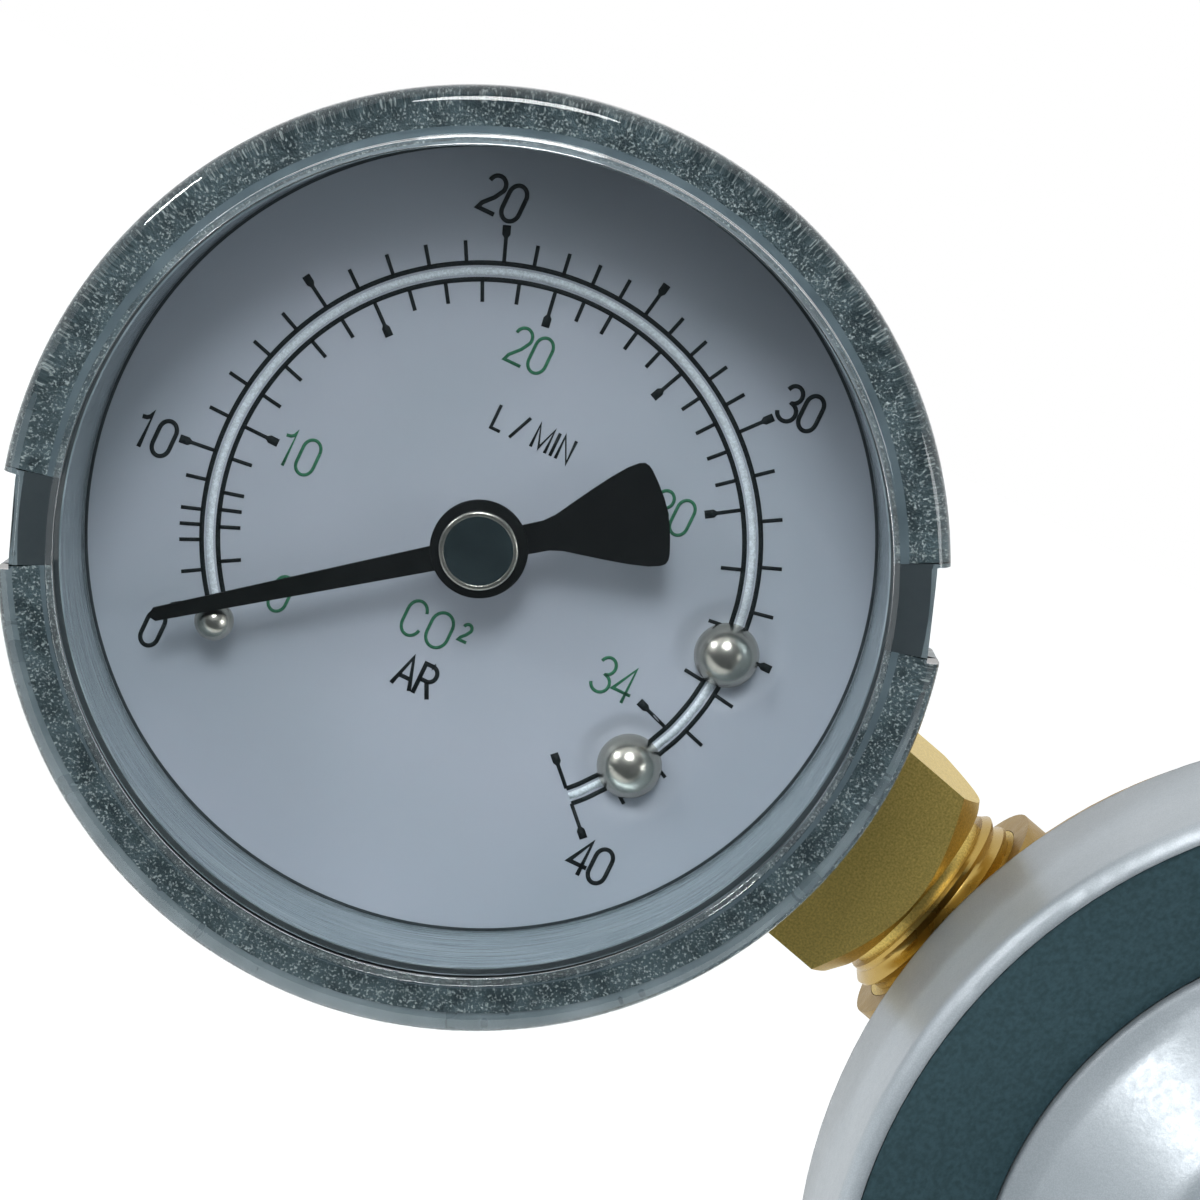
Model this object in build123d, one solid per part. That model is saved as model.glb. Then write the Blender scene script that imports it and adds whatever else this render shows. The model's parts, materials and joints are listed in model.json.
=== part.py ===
# Carbon dioxide regulator: rear inlet, flow gauge on the left, contents gauge on the right, outlet below.
# Millimetres. +Y points back to the cylinder, -Y to the user, +X right and +Z up as the user sees it.
# The origin is the centre of the inlet seat, where the gasket meets the cylinder valve.
from build123d import *
import os
from math import asin, atan2, cos, degrees, hypot, pi, radians, sin, sqrt

# Fits
running = 0.05          # radial gap of a shaft in its bore or a thread in its mate
seat_gap = 0.3          # gap between moving pieces that face each other
skin_gap = 0.1          # gap of a piece laid in a recess

# Inlet nut and stem
inlet_thread = 20.96    # outside diameter of the cylinder valve's thread
inlet_pitch = 25.4 / 14
nut_flats = 28.6
nut_grip = 11.5         # threaded length behind the seat
nut_undercut = 0.8      # relief between the thread and the shoulder, in radius
nut_shoulder = 5.0
stem_shaft = 5.6        # radius
stem_flange = 8.4       # radius
flange_length = 4.2
stem_hex_flats = 17.5
stem_hex_length = 7.0
gasket_radius = 6.4
gasket_thickness = 2.0
gasket_proud = 0.8
gasket_hole = 3.2
filter_radius = 2.9
filter_length = 12.0
passage = 1.8           # radius of the gas way through the stem
stem_exposed = 34.0     # from the seat to the body

# Body
pipe_thread = 6.8       # radius of the quarter inch pipe thread
pipe_engaged = 10.0
port_depth = 11.0
hub_radius = 15.0
hub_length = 12.0
disc_radius = 33.0
disc_length = 16.6
disc_round = 7.0        # rounded back edge
hub_round = 1.5
spigot_radius = 30.0
chamber_radius = 22.0
chamber_depth = 4.6
boss_radius = 8.2
port_stand = 1.0        # face of a gauge port, out from the disc
port_setback = 8.3      # from the bonnet joint back to the port axes
port_rise = 15.0        # degrees above level
outlet_rise = 4.0       # face of the outlet port, out from the disc
outlet_boss = 8.2
relief_angle = -45.0
relief_rise = 2.0       # face of the relief port, out from the disc
relief_boss = 7.0
drill = 1.6             # radius of the drilled gas ways
drill_circle = 17.5     # where they enter the low pressure chamber

# Valve
nozzle_thread = 6.0
nozzle_length = 5.0
nozzle_flange = 9.0
flange_rise = 2.0
nozzle_way = 1.7
cavity_radius = 5.2
cavity_length = 11.0
pin_radius = 1.1
poppet_head = 3.4
poppet_length = 4.0
seat_disc = 1.2         # thickness of the sealing disc on the poppet
poppet_wire = 0.7
poppet_turns = 3
valve_lift = 1.0

# Diaphragm and spring
diaphragm_thickness = 1.2
slip_ring_thickness = 0.6
slip_ring_width = 5.4
plate_radius = 18.5
plate_thickness = 2.2
stud_radius = 3.0
spring_radius = 10.5    # to the middle of the wire
spring_wire = 3.0
spring_slack = 3.0      # room between the coils with the screw right in
spring_turns = 4
spring_facets = 14      # straight lengths in a turn
collar = 1.2            # height of the collars that centre the spring
button_radius = 12.6
button_thickness = 2.6
button_boss = 6.0
button_boss_length = 3.0

# Bonnet
bonnet_radius = 35.4
bonnet_depth = 12.3
bonnet_edge = 1.0       # rounding of the front edge
bonnet_draft = 0.8
ring_outer = 33.5
ring_inner = 25.1
ring_drop_outer = 12.1  # front of the ring's outer edge, ahead of the joint
ring_drop_inner = 8.4
ring_thickness = 0.8
step_rise = 0.8         # hub's edge stands this proud of the ring
foot_land = 1.6         # narrow land at the foot of the cone, inside the ring
foot_crown = 0.5
foot_round = 2.0
dome_rise = 16.0        # where the cone meets the tower, ahead of the joint
dome_fillet = 3.0
tower_radius = 17.2
tower_draft = 1.0
tower_length = 38.0     # ahead of the joint
tower_round = 1.6
screw_hole = 6.0
screw_engaged = 6.0
spring_room = 13.4      # radius of the spring's chamber

# Adjusting screw
screw_travel = 6.0
screw_pitch = 2.0
screw_head = 7.5
screw_head_length = 12.0
screw_free = 29.0       # from the tower to the head, backed right off
tee_radius = 3.5
tee_length = 46.0
tee_from_end = 5.0

# Outlet
outlet_hex_flats = 17.5
outlet_hex_length = 8.0
outlet_thread = 7.9
outlet_thread_length = 12.0
outlet_way = 2.5
orifice_way = 0.37
orifice_length = 4.0
nose_length = 4.0
barb_flange = 6.6
barb_flange_length = 2.5
barb_neck = 4.6
barb_root = 3.1
barb_tip = 3.9
barb_pitch = 4.5
barb_count = 4
barb_way = 2.2
outlet_nut_flats = 19.0
outlet_nut_length = 17.0
outlet_nut_shoulder = 4.0

# Relief valve
relief_thread = 4.9
relief_thread_length = 8.5
relief_flats = 12.7
relief_hex_length = 5.0
relief_barrel = 5.6
relief_slack = 3.1      # room between the coils with the relief valve open
relief_seat_depth = 2.0
relief_bore = 4.0
relief_way = 1.5
relief_poppet_radius = 3.6
relief_poppet_length = 3.0
relief_cap_length = 3.0
relief_wire = 0.6
relief_turns = 4
relief_lift = 1.5

# Gauges
dial_ahead = 0.8        # dial face ahead of the bonnet joint
case_radius = 26.3
case_wall = 1.65
case_back = 17.5        # back of the case behind the dial face
case_rim = 9.0          # front rim ahead of the dial face
case_floor = 1.5
case_bevel = 2.0
lens_wall = 1.2         # skirt of the lens round the case
lens_front = 12.4
lens_round = 1.4        # rounding of the front edge
lens_bevel = 1.4
lens_rim = 3.0          # width of the raised rim round the window
window_drop = 0.35      # the window lies this far behind the rim
window = 1.8
skirt_length = 3.5
spacer_wall = 0.5       # ring between the dial and the lens
notch_width = 5.7
notch_depth = 1.0
notch_angle = 20.0
dial_thickness = 0.8
dial_edge_gap = 0.1
rivet_inset = 9.9       # from the outside of the case to the circle of the rivets
rivet_half = 4.52       # from the stem's middle to a rivet
rivet_radius = 2.0
rivet_shank = 1.15
rivet_length = 4.0
dimple_radius = 2.9
dimple_depth = 0.3
stop_pin_angle = 4.3    # behind the pointer's zero
stop_pin_circle = 16.7
stop_pin_radius = 1.2
stop_pin_height = 1.45
socket_flats = 14.3
socket_reach = 9.0      # of the wrench square, out from the case
socket_turned = 2.3     # length of its turned corners
socket_neck = 5.7
socket_neck_length = 0.9
thread_exposed = 2.1
thread_root = 6.2       # radius of the exposed part, under its thread
block_inset = 4.4       # from the tube's inside to the block's flat
block_half = 6.6
block_depth = 14.5
step_length = 5.5
tube_room = 7.8         # from the outside of the case to the tube's middle
tube_wall_to_wall = 2.2
tube_height = 6.0
tube_back = 12.0
tip_length = 4.0
lug_thickness = 0.8
module = 0.25
pinion_teeth = 8
sector_teeth = 80       # on a full circle
sector_cut = 9          # teeth that are there
pivot_bearing = 53.13   # from the stem to the sector's pivot
tail_arm = 4.6
tail_bearing = 77.0
arbor_radius = 0.5
pivot_radius = 0.5
fan_hub = 1.5
gear_front = 4.4
gear_thickness = 1.0
plate_sheet = 0.8
front_plate_depth = 2.4
back_plate_depth = 8.2
plate_boss = 2.6
pillar_radius = 1.1
pillar_spots = ((2.6, 10.6), (1.5, -7.0))
link_length = 9.0
link_width = 1.6
link_thickness = 0.5
link_pin = 0.5
lug_half = 1.5          # half height of the tip's lug
lug_margin = 0.25       # gap round the link's pin in the lug's slot
hairspring_outer = 4.0
hairspring_inner = 1.0
hairspring_turns = 2.5
hairspring_wire = 0.25
hairspring_height = 0.5
pointer_height = 2.45   # underside above the dial
pointer_thickness = 0.45
pointer_length = 20.3
pointer_root = 0.8      # half widths
pointer_end = 0.4
pointer_hub = 2.95
pointer_tail = 11.5
tail_spread = 16.0
tail_neck = 0.95
boss_disc = 2.4
boss_disc_height = 0.7

# Sizes that follow from those above
port_reach = disc_radius + port_stand
outlet_reach = disc_radius + outlet_rise
relief_reach = disc_radius + relief_rise
lens_radius = case_radius + lens_wall
rivet_circle = case_radius - rivet_inset
rivet_spread = degrees(asin(rivet_half / rivet_circle))
socket_end = case_radius + socket_reach
socket_corner = socket_end - socket_turned
tube_radius = case_radius - tube_room
block_start = tube_radius - tube_wall_to_wall / 2 - block_inset
step_start = block_start - step_length
gauge_distance = port_reach + socket_end + socket_neck_length + thread_exposed

gauges = {
    "flow": dict(side=-1, stem=-port_rise, zero=217.3, sweep=262.7),
    "contents": dict(side=1, stem=180 + port_rise, zero=225.0, sweep=270.0),
}

# Stations along the regulator's axis
hub_back = -stem_exposed
disc_back = hub_back - hub_length
joint = disc_back - disc_length
port_line = joint + port_setback
dial_face = joint - dial_ahead
gauge_x = gauge_distance * cos(radians(port_rise))
gauge_z = gauge_distance * sin(radians(port_rise))

# Stack of the diaphragm, from the bonnet's ceiling back
chamber_floor_wall = 2.4
spring_length = spring_turns * spring_wire + screw_travel + spring_slack
ceiling = joint - ring_drop_inner + ring_thickness + chamber_floor_wall
diaphragm_front = ceiling + slip_ring_thickness
spigot_front = diaphragm_front + diaphragm_thickness
chamber_floor = spigot_front + chamber_depth
stack_radius = spigot_radius - skin_gap
plate_front = diaphragm_front - plate_thickness
nozzle_front = chamber_floor - flange_rise
pin_tip = nozzle_front - valve_lift - seat_gap * 2
nozzle_back = chamber_floor + nozzle_length
cavity_back = nozzle_back + cavity_length
port_bore = pipe_thread + running
nut_minor = (inlet_thread - 1.0825 * inlet_pitch) / 2

sector_radius = module * sector_teeth / 2
pinion_radius = module * pinion_teeth / 2
pivot_distance = sector_radius + pinion_radius


def ring_of(*points, rounds=None):
    """Solid of revolution about Y from (radius, y) corners, some of them rounded."""
    profile = make_face(Polyline(*points, close=True))
    for corner, radius in (rounds or {}).items():
        profile = fillet(profile.vertices().sort_by_distance(corner)[0], radius)
    return revolve(profile, axis=Axis.Y)


def bar(radius, start, end):
    """Round bar along Y."""
    return Pos(0, (start + end) / 2, 0) * Rot(90, 0, 0) * Cylinder(radius, abs(end - start))


def slab(x, y, z):
    """Box between two limits on each axis."""
    middle = [(low + high) / 2 for low, high in (x, y, z)]
    return Pos(*middle) * Box(*[high - low for low, high in (x, y, z)])


def tube(outer, inner, start, end):
    """Round tube along Y."""
    return bar(outer, start, end) - bar(inner, start - 1, end + 1)


def hexagon(flats, start, end):
    """Hexagonal bar along Y with turned corners at both ends."""
    corner = flats / sqrt(3)
    bevel = (corner - flats / 2) * 0.6
    blank = ring_of(
        (0, start),
        (flats / 2, start),
        (corner, start + bevel),
        (corner, end - bevel),
        (flats / 2, end),
        (0, end),
    )
    prism = extrude(Plane.XZ * RegularPolygon(corner, 6), -(end - start))
    return Pos(0, start, 0) * prism & blank


def to_radial(shape, angle):
    """Turns what was made along Y so that it points out from the axis, at an angle above +X."""
    return Pos(0, port_line, 0) * Rot(0, -angle, 0) * Rot(0, 0, -90) * shape


def coil(radius, wire, turns, start, end, per_turn):
    """Coil spring along Y, ground flat at both ends, from straight lengths of square wire."""
    low, high = start + wire / 2, end - wire / 2
    count = int(turns * per_turn)
    path = [
        (
            radius * cos(2 * pi * i / per_turn),
            low + (high - low) * i / count,
            radius * sin(2 * pi * i / per_turn),
        )
        for i in range(count + 1)
    ]
    line = Polyline(*path)
    section = Plane(origin=line @ 0, x_dir=(0, 1, 0), z_dir=line % 0) * Rectangle(wire, wire)
    return sweep(section, path=line, transition=Transition.RIGHT) & bar(radius + wire, start, end)


def body():
    disc_edge = (disc_radius, disc_back)
    hub_foot = (hub_radius, disc_back)
    hub_edge = (hub_radius, hub_back)
    shape = ring_of(
        (0, spigot_front),
        (spigot_radius, spigot_front),
        (spigot_radius, joint),
        (disc_radius, joint),
        disc_edge,
        hub_foot,
        hub_edge,
        (0, hub_back),
        rounds={disc_edge: disc_round, hub_foot: hub_round, hub_edge: hub_round},
    )
    bosses = (
        (port_rise, port_reach, boss_radius, port_bore, port_depth),
        (180 - port_rise, port_reach, boss_radius, port_bore, port_depth),
        (-90, outlet_reach, outlet_boss, port_bore, port_depth),
        (relief_angle, relief_reach, relief_boss, relief_thread + running, relief_thread_length + 0.5),
    )
    for angle, reach, radius, bore, depth in bosses:
        shape += to_radial(bar(radius, disc_radius - port_depth, reach), angle)
    shape -= bar(chamber_radius, spigot_front - 1, chamber_floor)
    shape -= bar(nozzle_thread + running, chamber_floor - 1, nozzle_back)
    shape -= bar(cavity_radius, nozzle_back - 1, cavity_back)
    shape -= bar(passage, cavity_back - 1, hub_back)
    shape -= bar(port_bore, hub_back - port_depth, hub_back + 1)
    for angle, reach, radius, bore, depth in bosses:
        shape -= to_radial(bar(bore, reach - depth, reach + 1), angle)
        high_pressure = angle == port_rise
        inner = 0 if high_pressure else drill_circle
        shape -= to_radial(bar(drill, inner, reach - depth + 1), angle)
        if not high_pressure:
            down = bar(drill, chamber_floor - 1, port_line)
            shape -= Rot(0, -angle, 0) * Pos(drill_circle, 0, 0) * down
    return shape


def ring_front(radius):
    """Front of the sloping dark ring at a radius."""
    slope = (ring_drop_outer - ring_drop_inner) / (ring_outer - ring_inner)
    return joint - ring_drop_inner - slope * (radius - ring_inner)


def bonnet():
    """Painted casting: skirt, dished front for the ring, dome and spring tower."""
    front = joint - bonnet_depth
    hub_edge = joint - ring_drop_inner - step_rise
    top = joint - tower_length
    skirt_hole = spigot_radius + running
    rim = (bonnet_radius - bonnet_draft, front)
    foot = (ring_inner - foot_land, hub_edge - foot_crown)
    neck = (tower_radius, joint - dome_rise)
    tower_top = (tower_radius - tower_draft, top)
    outline = [
        (skirt_hole, joint),
        (bonnet_radius, joint),
        rim,
        (ring_outer, front),
        (ring_outer, ring_front(ring_outer) + ring_thickness),
        (ring_inner, ring_front(ring_inner) + ring_thickness),
        (ring_inner, hub_edge),
        foot,
        neck,
        tower_top,
        (screw_hole, top),
        (screw_hole, top + screw_engaged),
        (spring_room, top + screw_engaged),
        (spring_room, ceiling - 10.0),
        (plate_radius + 1.5, ceiling - 4.0),
        (plate_radius + 1.5, ceiling),
        (skirt_hole, ceiling),
    ]
    rounds = {rim: bonnet_edge, foot: foot_round, neck: dome_fillet, tower_top: tower_round}
    return ring_of(*outline, rounds=rounds)


def bonnet_ring():
    """Dark ring that lies in the bonnet's dish."""
    outer, inner = ring_outer - skin_gap, ring_inner + skin_gap
    return ring_of(
        (outer, ring_front(outer)),
        (outer, ring_front(outer) + ring_thickness),
        (inner, ring_front(inner) + ring_thickness),
        (inner, ring_front(inner)),
    )


def slip_ring():
    return tube(stack_radius, stack_radius - slip_ring_width, ceiling, diaphragm_front)


def diaphragm():
    return tube(stack_radius, stud_radius + running, diaphragm_front, spigot_front)


def spring_inside():
    """Radius of the collars that centre the main spring."""
    return (spring_radius - spring_wire / 2) * cos(pi / spring_facets) - seat_gap


def diaphragm_plate():
    plate = bar(plate_radius, plate_front, diaphragm_front) + bar(stud_radius, diaphragm_front - 1, pin_tip)
    locating = bar(spring_inside(), plate_front - collar, plate_front + 1)
    return plate + locating


def main_spring():
    face = plate_front - spring_length
    return coil(spring_radius, spring_wire, spring_turns, face, plate_front, spring_facets)


def spring_button():
    face = plate_front - spring_length
    return (
        bar(button_radius, face - button_thickness, face)
        + bar(spring_inside(), face - 1, face + collar)
        + bar(button_boss, face - button_thickness - button_boss_length, face)
    )


def screw_tip():
    """Where the adjusting screw bears on the button."""
    return plate_front - spring_length - button_thickness - button_boss_length


def adjusting_screw():
    head_back = joint - tower_length - screw_free
    head_front = head_back - screw_head_length
    radius = screw_hole - running
    shank = ring_of(
        (0, head_back - 1),
        (radius, head_back - 1),
        (radius, screw_tip() - screw_pitch),
        (radius - screw_pitch / 2, screw_tip()),
        (0, screw_tip()),
    )
    head = ring_of(
        (0, head_front),
        (screw_head - 1, head_front),
        (screw_head, head_front + 1),
        (screw_head, head_back - 1),
        (screw_head - 1, head_back),
        (0, head_back),
    )
    cross = Pos(0, tee_line(), 0) * Rot(0, 90, 0) * Cylinder(tee_radius, tee_length)
    return head + shank - cross


def tee_line():
    return joint - tower_length - screw_free - screw_head_length + tee_from_end


def tee_bar():
    end = 1.0
    blank = ring_of(
        (0, -tee_length / 2),
        (tee_radius - end, -tee_length / 2),
        (tee_radius, -tee_length / 2 + end),
        (tee_radius, tee_length / 2 - end),
        (tee_radius - end, tee_length / 2),
        (0, tee_length / 2),
    )
    return Pos(0, tee_line(), 0) * Rot(0, 0, -90) * blank


def valve_nozzle():
    lip = 0.6
    shape = bar(nozzle_flange, nozzle_front, chamber_floor)
    shape += bar(nozzle_thread, chamber_floor - 1, nozzle_back)
    shape -= tube(nozzle_thread + 1, nozzle_way + lip, nozzle_back - lip, nozzle_back + 1)
    return shape - bar(nozzle_way, nozzle_front - 1, nozzle_back + 1)


def valve_seat():
    return tube(poppet_head, pin_radius, nozzle_back, nozzle_back + seat_disc)


def valve_poppet():
    face = nozzle_back + seat_disc
    tail = bar(poppet_head - poppet_wire * 2, face + 1, face + poppet_length)
    return bar(pin_radius, pin_tip, face + 1) + bar(poppet_head, face, face + poppet_length / 2) + tail


def poppet_spring():
    start = nozzle_back + seat_disc + poppet_length / 2
    return coil(poppet_head - poppet_wire / 2, poppet_wire, poppet_turns, start, cavity_back, 10)


def inlet_stem():
    flange_face = -gasket_proud
    shape = bar(stem_shaft, hub_back, flange_face - 1)
    shape += ring_of(
        (0, flange_face),
        (stem_flange - 0.6, flange_face),
        (stem_flange, flange_face - 0.6),
        (stem_flange, flange_face - flange_length),
        (0, flange_face - flange_length),
    )
    shape += hexagon(stem_hex_flats, hub_back, hub_back + stem_hex_length)
    shape += bar(pipe_thread, hub_back - pipe_engaged, hub_back + 1)
    shape -= bar(gasket_radius + skin_gap, -gasket_thickness, 1)
    shape -= bar(filter_radius + skin_gap, -gasket_thickness - filter_length - seat_gap, 1)
    return shape - bar(passage, hub_back - pipe_engaged - 1, 1)


def inlet_gasket():
    return tube(gasket_radius, gasket_hole, -gasket_thickness, 0)


def inlet_filter():
    return bar(filter_radius, -gasket_thickness - filter_length, -gasket_thickness)


def inlet_nut():
    shoulder = -gasket_proud - flange_length - seat_gap
    start = shoulder - nut_shoulder
    shape = hexagon(nut_flats, start, nut_grip)
    shape -= bar(nut_minor + nut_undercut, shoulder, 0)
    shape -= bar(nut_minor, -1, nut_grip + 1)
    return shape - bar(stem_shaft + running, start - 1, shoulder + 1)


def outlet_adapter():
    face = outlet_reach
    hex_end = face + outlet_hex_length
    end = hex_end + outlet_thread_length
    shape = bar(pipe_thread, face - pipe_engaged, face) + hexagon(outlet_hex_flats, face, hex_end)
    shape += ring_of(
        (0, hex_end - 1),
        (outlet_thread, hex_end - 1),
        (outlet_thread, end - 1),
        (outlet_thread - 1, end),
        (0, end),
    )
    shape -= bar(outlet_way, face - pipe_engaged - 1, end + 1)
    shape -= ring_of((0, end), (barb_neck, end), (outlet_way, end - nose_length), (0, end - nose_length))
    return to_radial(shape, -90)


def outlet_orifice():
    start = outlet_reach - pipe_engaged + 1
    return to_radial(tube(outlet_way, orifice_way, start, start + orifice_length), -90)


def outlet_end():
    """Where the barb's flange meets the adapter, from the regulator axis."""
    return outlet_reach + outlet_hex_length + outlet_thread_length


def first_ridge():
    """Where the first barb stands up, past the nut."""
    return outlet_end() + barb_flange_length + outlet_nut_shoulder + 3.5


def barb_end():
    return first_ridge() + barb_count * barb_pitch


def hose_barb():
    start = outlet_end()
    neck_start = start + barb_flange_length
    neck_end = first_ridge() - 2.0
    nose = 0.6
    profile = [
        (barb_way, start - nose_length * nose),
        (barb_way + 0.4, start - nose_length * nose),
        (barb_neck - 0.4, start),
        (barb_flange, start),
        (barb_flange, neck_start),
        (barb_neck, neck_start),
        (barb_neck, neck_end),
        (barb_root, neck_end),
    ]
    profile.append((barb_root, first_ridge()))
    for i in range(barb_count):
        ridge = first_ridge() + i * barb_pitch
        profile += [(barb_tip, ridge), (barb_root, ridge + barb_pitch)]
    profile.append((barb_way, barb_end()))
    return to_radial(ring_of(*profile), -90)


def outlet_nut():
    shoulder = outlet_end() + barb_flange_length + seat_gap
    end = shoulder + outlet_nut_shoulder
    start = end - outlet_nut_length
    shape = hexagon(outlet_nut_flats, start, end)
    shape -= bar(outlet_thread + running, start - 1, shoulder)
    return to_radial(shape - bar(barb_neck + running, shoulder - 1, end + 1), -90)


def relief_stations():
    """Start and end of the hexagon, end of the barrel and the poppet's seat, from the regulator axis."""
    hex_start = relief_reach
    hex_end = hex_start + relief_hex_length
    seat = hex_start + relief_seat_depth
    spring_space = relief_turns * relief_wire + relief_lift + relief_slack
    return hex_start, hex_end, seat + relief_poppet_length + spring_space + relief_cap_length, seat


def relief_body():
    hex_start, hex_end, end, seat = relief_stations()
    shape = bar(relief_thread, hex_start - relief_thread_length, hex_start)
    shape += hexagon(relief_flats, hex_start, hex_end)
    shape += bar(relief_barrel, hex_end - 1, end)
    shape -= bar(relief_way, hex_start - relief_thread_length - 1, seat + 1)
    shape -= bar(relief_bore, seat, end + 1)
    vent = Pos(0, hex_end + 2.5, 0) * Cylinder(1.0, relief_barrel * 3)
    return to_radial(shape - vent, relief_angle)


def relief_poppet():
    hex_start, hex_end, end, seat = relief_stations()
    return to_radial(bar(relief_poppet_radius, seat, seat + relief_poppet_length), relief_angle)


def relief_spring():
    hex_start, hex_end, end, seat = relief_stations()
    return to_radial(
        coil(
            relief_poppet_radius - relief_wire,
            relief_wire,
            relief_turns,
            seat + relief_poppet_length,
            end - relief_cap_length,
            10,
        ),
        relief_angle,
    )


def relief_cap():
    hex_start, hex_end, end, seat = relief_stations()
    return to_radial(tube(relief_bore - running / 2, relief_way, end - relief_cap_length, end), relief_angle)


# Gauge pieces. Each is made with the dial face at y = 0 and the stem along +X, and seated by seat_gauge.
def polar(radius, angle):
    return radius * cos(radians(angle)), radius * sin(radians(angle))


def pivot_spot():
    return polar(pivot_distance, pivot_bearing)


def flat(outline, start, thickness):
    """Sheet cut to an outline in x and z, from y = start back."""
    face = make_face(Plane.XZ * outline) if not isinstance(outline, Sketch) else Plane.XZ * outline
    return Pos(0, start, 0) * extrude(face, -thickness)


def post(radius, start, end, spot):
    return Pos(spot[0], 0, spot[1]) * bar(radius, start, end)


def gauge_case():
    inner = case_radius - case_wall
    shape = ring_of(
        (0, case_back),
        (case_radius - case_bevel, case_back),
        (case_radius, case_back - case_bevel),
        (case_radius, -case_rim),
        (inner, -case_rim),
        (inner, case_back - case_floor),
        (0, case_back - case_floor),
    )
    half = socket_flats / 2 + running
    middle = port_setback + dial_ahead
    slot = Pos(case_radius, middle, 0) * Box(case_radius, half * 2, half * 2)
    return shape - slot


def gauge_lens():
    """Clear moulded cap over the case's rim, with notches round its skirt."""
    inner = case_radius - case_wall
    skirt_hole = case_radius + running
    skirt_end = skirt_length - case_rim
    pane = window_drop - lens_front
    rim = (lens_radius - lens_rim, -lens_front)
    pane_edge = (rim[0] - window_drop, pane)
    edge = (lens_radius, -lens_front)
    hem = (lens_radius, skirt_end)
    return ring_of(
        (0, pane),
        pane_edge,
        rim,
        edge,
        hem,
        (skirt_hole, skirt_end),
        (skirt_hole, -case_rim),
        (inner, -case_rim),
        (inner - lens_bevel, pane + window),
        (0, pane + window),
        rounds={edge: lens_round, hem: skin_gap * 4, rim: skin_gap * 2, pane_edge: skin_gap * 2},
    )


def spacer():
    """Ring that holds the dial down, in the case between the dial and the lens."""
    outer = case_radius - case_wall - skin_gap
    return tube(outer, outer - spacer_wall, -case_rim, 0)


def notched(lens, first):
    """Cuts the two notches out of a lens's skirt."""
    half = notch_width / 2
    depths = (lens_radius - notch_depth, lens_radius + 1)
    for turn in (0, 180):
        cutter = slab(depths, (-case_rim - skirt_length, 0), (-half, half))
        lens -= Rot(0, -(first + turn), 0) * cutter
    return lens


def rivet_spots():
    return [polar(rivet_circle, side * rivet_spread) for side in (-1, 1)]


def gauge_dial(zero):
    shape = bar(case_radius - case_wall - dial_edge_gap, 0, dial_thickness)
    shape -= bar(arbor_radius + 1.0, -1, 2)
    for spot in rivet_spots():
        shape -= post(dimple_radius, -1, dimple_depth, spot)
        shape -= post(rivet_shank + running, -1, 2, spot)
    return shape - post(0.5 + running, -1, 2, stop_spot(zero))


def stop_spot(zero):
    return polar(stop_pin_circle, zero + stop_pin_angle)


def dial_rivets():
    shapes = []
    reach = rivet_radius + 1
    dome = Sphere(rivet_radius) & slab((-reach, reach), (-reach, 0), (-reach, reach))
    for x, z in rivet_spots():
        shapes.append(Pos(x, dimple_depth, z) * dome + post(rivet_shank, 0, rivet_length, (x, z)))
    return Compound(children=shapes)


def stop_pin(zero):
    x, z = stop_spot(zero)
    ball = Pos(x, -stop_pin_height, z) * Sphere(stop_pin_radius)
    return ball + post(0.5, -stop_pin_height, dial_thickness, (x, z))


def gauge_socket():
    middle = port_setback + dial_ahead
    half = socket_flats / 2
    corner = half * sqrt(2)
    square = slab((case_radius - case_wall * 2, socket_end), (middle - half, middle + half), (-half, half))
    along = Pos(0, middle, 0) * Rot(0, 0, -90)
    square &= along * ring_of(
        (0, 0),
        (corner + 1, 0),
        (corner + 1, socket_corner - 0.7),
        (half - 0.3, socket_end),
        (0, socket_end),
    )
    inside = bar(case_radius - case_wall - skin_gap, 0, case_back)
    block_z = (-block_half, block_half)
    block = slab((block_start, case_radius), (dial_thickness, block_depth), block_z) & inside
    step = slab((step_start, block_start + 1), (back_plate_depth + plate_sheet, block_depth), block_z)
    shape = square + block + step
    neck_end = socket_end + socket_neck_length
    port_face = neck_end + thread_exposed
    thread_end = port_face + pipe_engaged
    shape += along * bar(socket_neck, socket_end - 1, neck_end)
    shape += along * bar(thread_root, neck_end, port_face)
    shape += along * bar(pipe_thread, port_face, thread_end)
    shape -= along * bar(drill, block_start + 2, thread_end + 1)
    for spot in rivet_spots():
        shape -= post(rivet_shank + running, -1, rivet_length, spot)
    return shape


def tube_ends():
    """Bearings of the tube's root, at the socket's side, and of its free end."""
    return -degrees(asin(block_half / tube_radius)), -270.0


def bourdon_tube():
    root, tip = tube_ends()
    inner = tube_radius - tube_wall_to_wall / 2
    section = Pos(tube_radius, tube_back - tube_height / 2) * Rectangle(tube_wall_to_wall, tube_height)
    swept = revolve(section, axis=Axis.Y, revolution_arc=root - tip)
    shape = Rot(0, -root, 0) * swept
    return shape - (Pos(block_start + inner / 2, 0, 0) * Box(inner, case_back * 3, block_half * 2))


def tube_tip():
    """Plug brazed to the tube's end, with the slotted lug that takes the link."""
    x, z = polar(tube_radius, 90)
    height = tube_height + 1.0
    middle = tube_back - tube_height / 2
    half = tube_wall_to_wall / 2 + 0.6
    plug = slab((0, tip_length), (middle - height / 2, middle + height / 2), (z - half, z + half))
    lug_x, lug_z = open_pivot()
    travel = tail_arm * 2 * cos(radians(tail_bearing))
    front = gear_front + gear_thickness + link_thickness + seat_gap
    sheet = (front, front + lug_thickness)
    left = lug_x - travel - link_pin - lug_margin * 2
    lug = slab((left, tip_length), sheet, (lug_z - lug_half, lug_z + lug_half))
    web = slab((0, tip_length), sheet, (lug_z, z))
    margin = link_pin + lug_margin
    slot = slab((lug_x - travel - margin, lug_x + margin), (0, front * 2), (lug_z - margin, lug_z + margin))
    return (plug + lug + web) - slot


def tail_spot():
    x, z = pivot_spot()
    dx, dz = polar(tail_arm, tail_bearing)
    return x + dx, z + dz


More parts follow.
